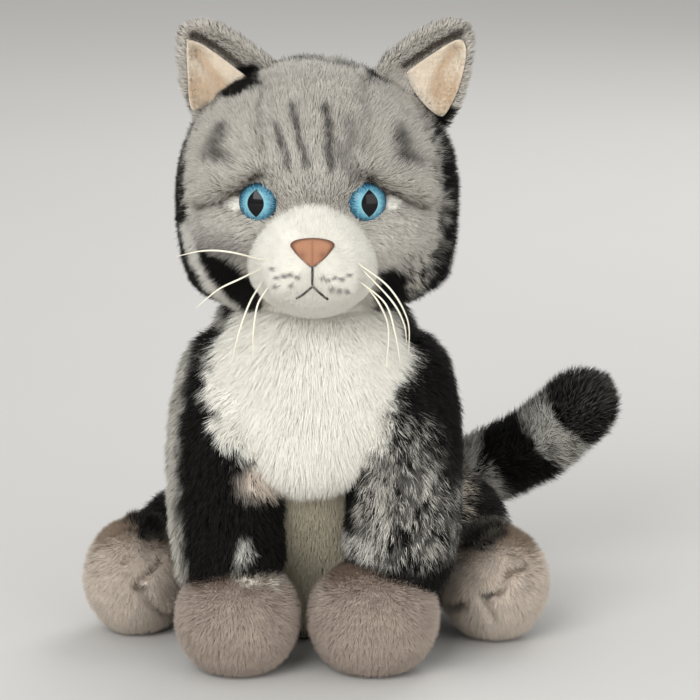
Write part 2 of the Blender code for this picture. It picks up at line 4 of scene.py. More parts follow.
import bpy
import numpy as np
from mathutils import Euler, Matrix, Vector


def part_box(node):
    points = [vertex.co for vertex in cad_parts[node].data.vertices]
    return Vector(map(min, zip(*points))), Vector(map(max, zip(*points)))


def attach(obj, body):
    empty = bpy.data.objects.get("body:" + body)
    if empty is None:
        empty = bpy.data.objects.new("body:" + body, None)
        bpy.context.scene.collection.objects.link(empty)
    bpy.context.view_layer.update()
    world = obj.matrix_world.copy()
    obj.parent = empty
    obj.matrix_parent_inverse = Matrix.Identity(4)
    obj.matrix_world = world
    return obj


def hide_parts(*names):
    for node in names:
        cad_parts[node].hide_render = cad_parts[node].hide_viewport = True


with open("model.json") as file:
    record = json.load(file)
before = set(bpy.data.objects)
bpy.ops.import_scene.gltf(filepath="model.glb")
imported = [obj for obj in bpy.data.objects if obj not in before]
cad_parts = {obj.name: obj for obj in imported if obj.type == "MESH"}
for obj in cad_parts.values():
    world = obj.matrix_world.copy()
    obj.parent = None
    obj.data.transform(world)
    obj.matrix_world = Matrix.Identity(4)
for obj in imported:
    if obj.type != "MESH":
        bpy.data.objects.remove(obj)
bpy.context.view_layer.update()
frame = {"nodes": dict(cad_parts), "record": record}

mm = 0.001
sides = (("left", 1), ("right", -1))

# in the settings every size and place is in millimetres, every angle in degrees
colours = dict(
    ash=(180, 175, 165), pale=(205, 202, 194), smoke=(126, 122, 116), slate=(92, 89, 85), coal=(9, 7, 6),
    soot=(60, 56, 53), snow=(245, 242, 232), ivory=(241, 238, 228), milk=(230, 226, 212), creamInShade=(194, 185, 162),
    fawn=(192, 173, 159), fawnDark=(122, 104, 90), cream=(228, 215, 196), creamDark=(208, 178, 142),
    sand=(227, 212, 196), silver=(190, 186, 176), earGrey=(188, 182, 172), umber=(66, 52, 42),
    suede=(168, 122, 96), suedeShade=(84, 54, 42), wadding=(236, 235, 231), thread=(34, 26, 22),
    bristle=(240, 234, 214), floor=(207, 204, 199), irisFleck=(16, 44, 62),
)


def linear(colour):
    rgb = np.array(colours[colour] if isinstance(colour, str) else colour, float) / 255
    return np.where(rgb <= 0.04045, rgb / 12.92, ((rgb + 0.055) / 1.055) ** 2.4)


def mirrored(entry):
    # a place, a direction, a list of them or whole settings, moved to the cat's other side
    if isinstance(entry, dict):
        return {key: mirrored(value) if key in ("at", "line", "ledge") else value for key, value in entry.items()}
    if isinstance(entry[0], tuple):
        return type(entry)(mirrored(part) for part in entry)
    return (-entry[0], *entry[1:])


def bothSides(*entries):
    # an entry off the middle stands for itself and for its mirror image
    twins = [(entry, mirrored(entry)) for entry in entries]
    return [one for entry, twin in twins for one in ([entry] if entry == twin else [entry, twin])]


def deselectAll():
    if bpy.context.mode != "OBJECT":
        bpy.ops.object.mode_set(mode="OBJECT")
    bpy.ops.object.select_all(action="DESELECT")


def pick(*objects):
    deselectAll()
    for thing in objects:
        thing.select_set(True)
    bpy.context.view_layer.objects.active = objects[0]


def editAll(thing):
    pick(thing)
    bpy.ops.object.mode_set(mode="EDIT")
    bpy.ops.mesh.select_all(action="SELECT")


def addBall(name, at, half, level=5):
    deselectAll()
    bpy.ops.mesh.primitive_ico_sphere_add(subdivisions=level, radius=1.0)
    ball = bpy.context.object
    ball.name = name
    ball.scale = [h * mm for h in half]
    ball.location = [a * mm for a in at]
    bpy.ops.object.transform_apply(location=True, rotation=True, scale=True)
    return ball


def applyModifier(thing, kind, **values):
    pick(thing)
    change = thing.modifiers.new("step", kind)
    for key, value in values.items():
        setattr(change, key, value)
    bpy.ops.object.modifier_apply(modifier=change.name)


def melted(name, parts, voxel, rounds):
    pick(*parts)
    bpy.ops.object.join()
    whole = bpy.context.object
    whole.name = name
    applyModifier(whole, "REMESH", mode="VOXEL", voxel_size=voxel * mm)
    applyModifier(whole, "SMOOTH", factor=0.6, iterations=rounds)
    return whole


def limb(name, route):
    balls = []
    for (a, ra), (b, rb) in zip(route, route[1:]):
        steps = max(2, int(math.dist(a, b) / (0.35 * min(ra, rb))))
        for i in range(steps + (b == route[-1][0])):
            t = i / steps
            r = ra + (rb - ra) * t
            balls.append(addBall(name, [a[k] + (b[k] - a[k]) * t for k in range(3)], (r, r, r), 3))
    return melted(name, balls, voxel=2.2, rounds=6)


def readVertices(thing, what):
    values = np.empty(len(thing.data.vertices) * 3, np.float32)
    thing.data.vertices.foreach_get(what, values)
    return values.reshape(-1, 3).astype(float)


def points(thing):
    return readVertices(thing, "co")


def normals(thing):
    return readVertices(thing, "normal")


def setPoints(thing, co):
    thing.data.vertices.foreach_set("co", co.astype(np.float32).ravel())
    thing.data.update()


def onFloor(thing, height):
    # nothing of the piece lies lower than this height
    co = points(thing)
    co[:, 2] = np.maximum(co[:, 2], height * mm)
    setPoints(thing, co)


def copyOf(thing, name):
    pick(thing)
    bpy.ops.object.duplicate()
    made = bpy.context.object
    made.name = name
    return made


def drop(*things):
    for thing in things:
        bpy.data.objects.remove(thing)


def cutOff(thing, at, way):
    editAll(thing)
    bpy.ops.mesh.bisect(plane_co=[a * mm for a in at], plane_no=way, clear_outer=True, use_fill=False)
    bpy.ops.object.mode_set(mode="OBJECT")


def rising(value, low, high):
    t = np.clip((value - low) / (high - low), 0, 1)
    return t * t * (3 - 2 * t)


def unit(v):
    return v / np.maximum(np.linalg.norm(v, axis=1), 1e-12)[:, None]


def lineReach(co, line, flat=False):
    # how far each point is from a line; a flat line is one seen from the front
    best = np.full(len(co), 1e9)
    line = np.array([(x, 0, z) for x, *_, z in line] if flat else line, float) * mm
    if flat:
        co = co * (1, 0, 1)
    for a, b in zip(line, line[1:]):
        run = b - a
        t = np.clip((co - a) @ run / (run @ run), 0, 1)
        best = np.minimum(best, np.linalg.norm(co - (a + t[:, None] * run), axis=1))
    return best


def ledge(co, move):
    # a step along a line seen from the front: out above it, in below it
    outer, inner, brink, foot, dip, front = 5 * mm, 2 * mm, 0.8 * mm, 1.2 * mm, 3.5 * mm, -60 * mm
    line = np.array(sorted(move["ledge"]), float) * mm
    above = co[:, 2] - np.interp(co[:, 0], line[:, 0], line[:, 1])
    left, right = line[0, 0], line[-1, 0]
    inside = rising(co[:, 0], left - outer, left + inner) * (1 - rising(co[:, 0], right - inner, right + outer))
    up = rising(above, -brink, foot) * np.exp(-(np.maximum(above, 0) / (move["reach"] * mm)) ** 2)
    down = np.exp(-(np.minimum(above + foot, 0) / dip) ** 2) * (1 - rising(above, -foot, brink))
    return (up * move["push"] - down * move["back"]) * inside * (co[:, 1] < front)


def sculpt(thing, moves):
    for move in moves:
        co = points(thing)
        if "ledge" in move:
            far = ledge(co, move)
        elif "line" in move:
            far = np.exp(-(lineReach(co, move["line"], move.get("flat", False)) / (move["wide"] * mm)) ** 2)
            far *= move["push"]
        else:
            local = (co - np.array(move["at"]) * mm) / (np.array(move["size"]) * mm)
            far = np.exp(-(local ** 2).sum(axis=1)) * move["push"]
        if "front" in move:
            far *= co[:, 1] < move["front"] * mm
        setPoints(thing, co + normals(thing) * (far * mm)[:, None])


def squarish(thing, at, half, power):
    # a ball between round (2) and boxy (more)
    at, half = np.array(at) * mm, np.array(half) * mm
    local = (points(thing) - at) / half
    heading = np.abs(local / np.linalg.norm(local, axis=1)[:, None])
    outward = (heading ** power).sum(axis=1) ** (-1 / power)
    setPoints(thing, at + local * (1 + (outward - 1))[:, None] * half)


def stuffed(skin, cap, pressure, voxel=4.0):
    # a slightly smaller cloth copy is blown up by at most the cap, and the fine skin is laid on it
    pad = copyOf(skin, "pad")
    applyModifier(pad, "REMESH", mode="VOXEL", voxel_size=voxel * mm)
    setPoints(pad, points(pad) - normals(pad) * 0.4 * cap * mm)
    start = points(pad)
    cloth = pad.modifiers.new("cloth", "CLOTH")
    feel = cloth.settings
    feel.use_pressure = True
    feel.uniform_pressure_force = pressure
    feel.mass = 0.1
    feel.tension_stiffness = feel.compression_stiffness = 1.0
    feel.shear_stiffness, feel.bending_stiffness = 0.5, 0.05
    feel.effector_weights.gravity = 0.0
    for step in range(1, 21):
        bpy.context.scene.frame_set(step)
    pick(pad)
    bpy.ops.object.modifier_apply(modifier=cloth.name)
    move = points(pad) - start
    far = np.linalg.norm(move, axis=1)
    print(skin.name, "stuffed, moved", round(far.mean() / mm, 2), "mm")
    setPoints(pad, start + move * np.minimum(1, cap * mm / np.maximum(far, 1e-9))[:, None])
    applyModifier(pad, "SUBSURF", levels=1)
    applyModifier(skin, "SHRINKWRAP", target=pad, wrap_method="NEAREST_SURFACEPOINT")
    applyModifier(skin, "SMOOTH", factor=0.5, iterations=3)
    bpy.context.scene.frame_set(1)
    drop(pad)
    return skin


def onSkin(skin, x, z, lift=0.0):
    # the place where a straight line from the front meets the skin
    hit, place, facing, face = skin.ray_cast(Vector((x * mm, -0.4, z * mm)), Vector((0, 1, 0)))
    return (place + facing * lift * mm) / mm if hit else Vector((x, -100, z))


def softNoise(co, size, seed, channels=1):
    entries = 4096
    table = np.random.default_rng(seed).uniform(-1, 1, (entries, channels))
    scaled = co / (size * mm)
    base = np.floor(scaled).astype(np.int64)
    share = scaled - base
    share = share * share * (3 - 2 * share)
    total = 0
    for corner in range(8):
        step = np.array([corner & 1, corner >> 1 & 1, corner >> 2])
        cell = (base + step) * (73856093, 19349663, 83492791)  # large primes that scatter the cells
        entry = (cell[:, 0] ^ cell[:, 1] ^ cell[:, 2]) % entries
        weight = np.prod(np.where(step == 1, share, 1 - share), axis=1)
        total = total + table[entry] * weight[:, None]
    return total


def alongRoute(co, route):
    # how far along the route each point lies; its first and last legs run on past its ends
    overrun = 9
    best, far, start = np.full(len(co), 1e9), np.zeros(len(co)), 0.0
    route = np.array(route, float) * mm
    for number, (a, b) in enumerate(zip(route, route[1:])):
        run = b - a
        first, last = number == 0, number == len(route) - 2
        t = np.clip((co - a) @ run / (run @ run), -overrun if first else 0, overrun if last else 1)
        gap = np.linalg.norm(co - (a + np.clip(t, 0, 1)[:, None] * run), axis=1)
        size = np.linalg.norm(run) / mm
        far = np.where(gap < best, start + t * size, far)
        best = np.minimum(best, gap)
        start += size
    return far


# what a spot on a coat is where its own settings say nothing
plainSpot = dict(
    flat=False,  # seen from the front, whatever the depth
    facing=False,  # only where the skin looks forward
    front=None, behind=None,  # only in front of this y, or only behind it
    soft=0.25, rag=0.18, ragSize=3.0, strength=1.0,
    speckle=None, lock=2.4, lockShare=0.7,  # a share of the strands, in locks of this size
    stand=1.0,  # how much of its lean the pile keeps
)


def reachOf(co, spot):
    # how far out of a spot's middle each point lies, 1 at its edge
    if "ring" in spot:
        return earReach(co[:, 0] / mm, co[:, 2] / mm, spot["ring"], spot["middle"])[0]
    if "band" in spot:
        low, high = spot["band"]
        return np.abs(alongRoute(co, spot["route"]) - (low + high) / 2) / ((high - low) / 2)
    flat = spot.get("flat", False)
    if "line" in spot:
        return lineReach(co, spot["line"], flat) / (spot["wide"] * mm)
    gap = co - np.array(spot["at"]) * mm
    return np.linalg.norm((gap * (1, 0, 1) if flat else gap) / (np.array(spot["size"]) * mm), axis=1)


def spread(co, given, seed):
    spot = {**plainSpot, **given}
    reach = reachOf(co, spot) + softNoise(co, spot["ragSize"], seed)[:, 0] * spot["rag"]
    share = (1 - rising(reach, 1 - spot["soft"], 1 + spot["soft"])) * spot["strength"]
    if spot["front"] is not None:
        share = share * (co[:, 1] < spot["front"] * mm)
    if spot["behind"] is not None:
        share = share * rising(co[:, 1], (spot["behind"] - 4) * mm, (spot["behind"] + 4) * mm)
    return share


def streaks(co, way, size, seed):
    # noise drawn out along the comb, so that a mixed patch reads as locks and not as dots
    along = (co * unit(way)).sum(axis=1)[:, None] * unit(way)
    return softNoise(co - along * 0.72, size, seed)[:, 0]


def shadedUnderPile(base, share):
    # painted shade: the roots and the skin under the pile are darkened by the share; pale pile keeps its colour down to
    # the root
    keep = rising(base.mean(axis=1), 0.55, 0.85)[:, None]
    return base * (share + (1 - share) * keep)


def painted(co, coat, seed, lucky, way, up):
    colour = np.tile(linear(coat["colour"]), (len(co), 1))
    for number, given in enumerate(coat["patches"]):
        spot = {**plainSpot, **given}
        share = spread(co, spot, seed + 31 * number)
        if spot["facing"]:
            share = share * (up[:, 1] < -0.1)
        if spot["speckle"] is not None:
            locks = streaks(co, way, spot["lock"], seed + 17 * number) * spot["lockShare"]
            share = share * (0.5 + (lucky[:, number % lucky.shape[1]] - 0.5) * 0.6 + locks < spot["speckle"])
        colour += (linear(spot["colour"]) - colour) * share[:, None]
    return colour


def guided(co, guides):
    # the comb's direction, drawn from the guides that are near
    total = np.zeros_like(co)
    for at, way in guides:
        gap = np.linalg.norm(co - np.array(at) * mm, axis=1) / mm
        total += np.array(way, float) / (gap[:, None] ** 3 + 40)
    return total


# what a coat is where its own settings say nothing; density is in strands on a square millimetre
plainCoat = dict(
    wide=0.42, short=False, lean=35, fall=65, stray=0.14, tuft=4.0, tuftBend=0.35, clump=2.4, clumpShare=0.3,
    follow=0.6,  # how far a strand is lit as the skin under it is
    # rootShade and skinShade are painted shade: how much of its colour a strand's root and the skin under the pile keep
    vary=0.12, mottle=0.06, tipColour="snow", tipShare=0.08, rootShade=0.55, skinShade=0.5,
    patches=(), lengths=(), bare=(), sheenTips=(),
)
# one strand: two leaning halves, narrower at the middle, rooted a little below the skin
strand = dict(
    lowestRoot=0.8, lowestMiddle=0.5, lowestTip=0.3, depth=0.4, shortest=0.3, lengths=(0.75, 1.1), widths=(0.7, 1.2),
    waist=0.84, roll=0.8, firstWave=0.4, secondStray=1.6, gather=(0.4, 1.2), tipSheen=1.5,
)


def scattered(skin, count, rng):
    # places strewn evenly over the skin, and the skin's direction at each
    mesh = skin.data
    tris = np.empty(len(mesh.loop_triangles) * 3, np.int32)
    mesh.loop_triangles.foreach_get("vertices", tris)
    tris = tris.reshape(-1, 3)
    co, no = points(skin), normals(skin)
    a, b, c = co[tris[:, 0]], co[tris[:, 1]], co[tris[:, 2]]
    area = np.linalg.norm(np.cross(b - a, c - a), axis=1) / 2
    count = int(area.sum() / mm**2 * count)
    totals = np.cumsum(area)
    face = np.searchsorted(totals, (np.arange(count) + rng.random(count)) / count * totals[-1])
    face = np.minimum(face, len(tris) - 1)
    u, v = rng.random(count), rng.random(count)
    u, v = np.where(u + v > 1, 1 - u, u)[:, None], np.where(u + v > 1, 1 - v, v)[:, None]
    w = 1 - u - v
    up = unit(w * no[tris[face, 0]] + u * no[tris[face, 1]] + v * no[tris[face, 2]])
    return w * a[face] + u * b[face] + v * c[face], up


def gathered(root, tip, coat, seed, rng):
    # neighbouring tips draw together into clumps
    places = (root + softNoise(root, 5.0, seed + 9, 3) * 1.6 * mm) / (coat["clump"] * mm)
    cell = np.floor(places).astype(np.int64) @ np.array([1, 4001, 16008001])
    lock = np.unique(cell, return_inverse=True)[1].ravel()
    centre = np.column_stack([np.bincount(lock, tip[:, axis]) for axis in range(3)]) / np.bincount(lock)[:, None]
    return tip + (centre[lock] - tip) * (coat["clumpShare"] * rng.uniform(*strand["gather"], len(root)))[:, None]


def pileOn(skin, coat, seed):
    rng = np.random.default_rng(seed)
    skin.data.calc_loop_triangles()
    root, up = scattered(skin, coat["density"], rng)
    length, stand = np.full(len(root), float(coat["pile"])), np.ones(len(root))
    for spot in coat["lengths"]:
        share = spread(root, dict(spot, rag=0), seed)
        length += (spot["pile"] - length) * share
        stand += (spot.get("stand", plainSpot["stand"]) - stand) * share
    keep = (root[:, 2] > strand["lowestRoot"] * mm) & (length > strand["shortest"])
    for spot in coat["bare"]:
        keep &= (reachOf(root, spot) > 1) | (up[:, 1] > -0.2 if spot.get("facing") else False)
    root, up, stand = root[keep], up[keep], stand[keep][:, None]
    count = len(root)
    length = length[keep] * rng.uniform(*strand["lengths"], count)
    way = guided(root, coat["guides"])
    way = unit(way - up * (way * up).sum(axis=1)[:, None])
    wave = softNoise(root, coat["tuft"], seed + 1, 3) * coat["tuftBend"]
    fine = rng.normal(0, coat["stray"], (count, 3))
    lean, fall = math.radians(coat["lean"]) * stand, math.radians(coat["fall"]) * stand
    first = unit(up * np.cos(lean) + way * np.sin(lean) + strand["firstWave"] * wave + fine)
    second = unit(up * np.cos(fall) + way * np.sin(fall) + wave + strand["secondStray"] * fine)
    long = (length * mm)[:, None]
    middle = root + first * long * 0.5
    tip = gathered(root, middle + second * long * 0.5, coat, seed, rng)
    tip[:, 2] = np.maximum(tip[:, 2], strand["lowestTip"] * mm)
    middle[:, 2] = np.maximum(middle[:, 2], strand["lowestMiddle"] * mm)
    root = root - up * (strand["depth"] * mm)
    # each strand is a ribbon, rolled a little at random
    aside = unit(np.cross(first, up))
    roll = rng.uniform(-strand["roll"], strand["roll"], count)[:, None]
    aside = aside * np.cos(roll) + np.cross(first, aside) * np.sin(roll)
    wide = (coat["wide"] * mm * rng.uniform(*strand["widths"], count))[:, None]
    normal = unit(up * coat["follow"] + unit(np.cross(aside, first)) * (1 - coat["follow"]))
    waist = aside * wide * (strand["waist"] / 2)
    corners = np.stack([root - aside * wide / 2, root + aside * wide / 2, middle - waist, middle + waist, tip], axis=1)
    base = painted(root, coat, seed, rng.random((count, 6)), way, up)
    base *= (rng.uniform(1 - coat["vary"], 1 + coat["vary"], count)
             + streaks(root, way, 5.0, seed + 5) * coat["mottle"])[:, None]
    light = np.clip(base.mean(axis=1) * 6, 0, 1)
    tipColour = base + (linear(coat["tipColour"]) - base) * (coat["tipShare"] * light * rng.random(count))[:, None]
    # painted sheen: some strand tips are mixed towards a grey, standing in for the sheen of the dark pile
    for spot in coat["sheenTips"]:
        tipSheen = spread(root, spot, seed) * rng.random(count) ** strand["tipSheen"]
        tipColour += (linear(spot["colour"]) - tipColour) * tipSheen[:, None]
    shades = np.stack([shadedUnderPile(base, coat["rootShade"])] * 2 + [base] * 2 + [tipColour], axis=1)
    chosen = [0, 1, 4] if coat["short"] else [0, 1, 2, 3, 4]
    return corners[:, chosen], np.repeat(normal[:, None], len(chosen), axis=1), shades[:, chosen]


def furred(name, skin, given, seed, backing=0.8):
    # the skin gets a backing inside, its pile outside, and both become one mesh
    coat = {**plainCoat, **given}
    corners, normal, shades = pileOn(skin, coat, seed)
    applyModifier(skin, "SOLIDIFY", thickness=backing * mm, offset=-1.0)
    mesh = skin.data
    co, no = points(skin), normals(skin)
    totals = np.empty(len(mesh.polygons), np.int32)
    mesh.polygons.foreach_get("loop_total", totals)
    loops = np.empty(len(mesh.loops), np.int32)
    mesh.loops.foreach_get("vertex_index", loops)
    lucky = np.random.default_rng(seed).random((len(co), 6))
    skinShade = painted(co, coat, seed, lucky, unit(guided(co, coat["guides"])), no)
    skinShade = shadedUnderPile(skinShade, coat["skinShade"])
    count, each = corners.shape[:2]
    ribbon, faces = ([0, 1, 2], [3]) if each == 3 else ([0, 1, 3, 2, 2, 3, 4], [4, 3])
    ribbonLoops = (len(co) + np.arange(count)[:, None] * each + np.array(ribbon)).ravel()
    allLoops = np.concatenate([loops, ribbonLoops]).astype(np.int32)
    allTotals = np.concatenate([totals, np.tile(faces, count)])
    starts = (np.cumsum(allTotals) - allTotals).astype(np.int32)
    whole = bpy.data.meshes.new(name)
    whole.vertices.add(len(co) + each * count)
    whole.vertices.foreach_set("co", np.concatenate([co, corners.reshape(-1, 3)]).astype(np.float32).ravel())
    whole.loops.add(len(allLoops))
    whole.loops.foreach_set("vertex_index", allLoops)
    whole.polygons.add(len(starts))
    whole.polygons.foreach_set("loop_start", starts)
    whole.update(calc_edges=True)
    tagged(whole, "custom_normal", np.concatenate([no, normal.reshape(-1, 3)]))
    tinted(whole, np.concatenate([skinShade, shades.reshape(-1, 3)]))
    cellMap(whole, totals, loops, skinShade, shades)
    made = bpy.data.objects.new(name, whole)
    bpy.context.scene.collection.objects.link(made)
    drop(skin)
    whole.materials.append(coat["material"])
    print(name, "pile of", count, "strands,", int((allTotals - 2).sum()), "triangles")
    return made


def tagged(mesh, name, values, kind="FLOAT_VECTOR", field="vector"):
    tag = mesh.attributes.new(name, kind, "POINT")
    tag.data.foreach_set(field, values.astype(np.float32).ravel())


def tinted(mesh, rgb):
    tagged(mesh, "furColour", np.column_stack([np.clip(rgb, 0, 1), np.ones(len(rgb))]), "FLOAT_COLOR", "color")


def cellMap(mesh, totals, loops, skinShade, shades):
    # a small cell of the colour map for each face and strand, sorted by how light it is
    count, skinCount = len(shades), len(totals)
    firsts = np.cumsum(totals) - totals
    tone = np.concatenate([skinShade[loops[firsts]], shades[:, -2]]) @ np.array([0.3, 0.6, 0.1])
    order = np.empty(len(tone), np.int64)
    order[np.argsort(tone, kind="stable")] = np.arange(len(tone))
    across = math.ceil(math.sqrt(len(tone)))
    row, column = order // across, order % across
    column = np.where(row % 2 == 1, across - 1 - column, column)
    cell = np.column_stack([column, row]).astype(float)
    turn = np.concatenate([np.arange(n) * math.tau / n for n in totals])
    circle = 0.5 + 0.42 * np.column_stack([np.cos(turn), np.sin(turn)])
    spots = [(0.1, 0.08), (0.9, 0.08), (0.9, 0.5), (0.1, 0.5), (0.1, 0.5), (0.9, 0.5), (0.5, 0.95)]
    spots = np.array(spots if shades.shape[1] == 5 else [spots[0], spots[1], spots[6]])
    uvs = np.concatenate([np.repeat(cell[:skinCount], totals, axis=0) + circle,
                          (cell[skinCount:, None] + spots).reshape(-1, 2)])
    uv = mesh.uv_layers.new(name="OFBake")
    uv.data.foreach_set("uv", (uvs / across).astype(np.float32).ravel())


def newMaterial(name, roughness, **sockets):
    made = bpy.data.materials.new(name)
    made.use_nodes = True
    shader = made.node_tree.nodes["Principled BSDF"]
    shader.inputs["Roughness"].default_value = roughness
    for key, value in sockets.items():
        shader.inputs[key.replace("_", " ")].default_value = value
    return made, made.node_tree, shader


def addStep(tree, kind, operation, *given):
    # one shader step; each input is a socket or a value, None leaves it as it is
    made = tree.nodes.new("ShaderNode" + kind)
    if operation:
        setattr(made, "data_type" if kind == "Mix" else "operation", operation)
    for place, value in given:
        if isinstance(value, bpy.types.NodeSocket):
            tree.links.new(value, made.inputs[place])
        else:
            made.inputs[place].default_value = value
    return made


def makeGrain():
    # fine noise over a piece, as a mask and as a shade that swings round 1
    group = bpy.data.node_groups.new("fibreGrain", "ShaderNodeTree")
    for name in ("Scale", "Detail", "Swing"):
        group.interface.new_socket(name, in_out="INPUT", socket_type="NodeSocketFloat")
    for name in ("Mask", "Shade"):
        group.interface.new_socket(name, in_out="OUTPUT", socket_type="NodeSocketFloat")
    given, result = group.nodes.new("NodeGroupInput"), group.nodes.new("NodeGroupOutput")
    place = addStep(group, "TexCoord", None)
    noise = addStep(group, "TexNoise", None, ("Vector", place.outputs["Object"]),
                 ("Scale", given.outputs["Scale"]), ("Detail", given.outputs["Detail"]))
    low = addStep(group, "Math", "SUBTRACT", (0, 1.0), (1, given.outputs["Swing"]))
    high = addStep(group, "Math", "ADD", (0, 1.0), (1, given.outputs["Swing"]))
    span = addStep(group, "MapRange", None, ("Value", noise.outputs["Fac"]),
                ("To Min", low.outputs[0]), ("To Max", high.outputs[0]))
    group.links.new(noise.outputs["Fac"], result.inputs["Mask"])
    group.links.new(span.outputs["Result"], result.inputs["Shade"])
    return group


grainGroup = makeGrain()


def addGrain(tree, scale, swing):
    made = tree.nodes.new("ShaderNodeGroup")
    made.node_tree = grainGroup
    for name, value in (("Scale", scale), ("Detail", 2.0), ("Swing", swing)):
        made.inputs[name].default_value = value
    return made


def furMaterial(name, roughness=0.75, sheen=0.02, swing=0.18, shine=0.1, scale=420.0):
    made, tree, shader = newMaterial(name, roughness, Sheen_Weight=sheen, Sheen_Roughness=0.5, Specular_IOR_Level=shine)
    tint = addStep(tree, "Attribute", None)
    tint.attribute_name = "furColour"
    shaded = addStep(tree, "VectorMath", "SCALE", (0, tint.outputs["Color"]),
                  ("Scale", addGrain(tree, scale, swing).outputs["Shade"]))
    tree.links.new(shaded.outputs["Vector"], shader.inputs["Base Color"])
    return made


def plainMaterial(name, colour, roughness=0.7, scale=300.0, vary=0.12):
    made, tree, shader = newMaterial(name, roughness)
    mask = addGrain(tree, scale, vary).outputs["Mask"]
    base = linear(colour)
    mixed = addStep(tree, "Mix", "RGBA", ("A", (*(base * (1 - vary)), 1)),
                 ("B", (*np.clip(base * (1 + vary), 0, 1), 1)), ("Factor", mask))
    tree.links.new(mixed.outputs["Result"], shader.inputs["Base Color"])
    bump = addStep(tree, "Bump", None, ("Strength", 0.3), ("Distance", 0.0003), ("Height", mask))
    tree.links.new(bump.outputs["Normal"], shader.inputs["Normal"])
    return made


longFur = furMaterial("longPile")
whiteFur = furMaterial("whitePile", roughness=0.8, sheen=0.08, swing=0.05, shine=0.15)
shortFur = furMaterial("shortPile", roughness=0.85, sheen=0.1, swing=0.1, shine=0.15)
fibre = plainMaterial("packedFibre", "wadding", roughness=0.95, scale=900.0, vary=0.08)


def finished(made, body, nodes):
    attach(made, body)
    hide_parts(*nodes)
    return made


def filling(skin, name, body, node, by=1.6):
    # the stuffing is the skin drawn in, with far fewer faces
    made = copyOf(skin, name)
    setPoints(made, points(made) - normals(made) * by * mm)
    applyModifier(made, "DECIMATE", ratio=0.12)
    made.data.materials.clear()
    made.data.materials.append(fibre)
    return finished(made, body, [node])


def mark(colour, at, size, soft, front=-50, **more):
    # a round patch as it is seen from the front
    (x, z), (wide, tall) = at, size
    return dict(more, at=(x, 0, z), size=(wide, 1, tall), flat=True, front=front, colour=colour, soft=soft)


def stroke(colour, line, wide, soft, front=-50, **more):
    # a drawn line as it is seen from the front
    return dict(more, line=line, wide=wide, flat=True, front=front, colour=colour, soft=soft)


# painted sheen: grey mixed into the strand tips all over a dark coat
def sheenTipped(strength):
    return [dict(at=(0, 0, 90), size=(200, 200, 200), colour="smoke", strength=strength)]


def dressed(name, skin, coat, seed, body, node, backing=0.8):
    return finished(furred(name, skin, coat, seed, backing), body, [node])


print("helpers and materials ready")

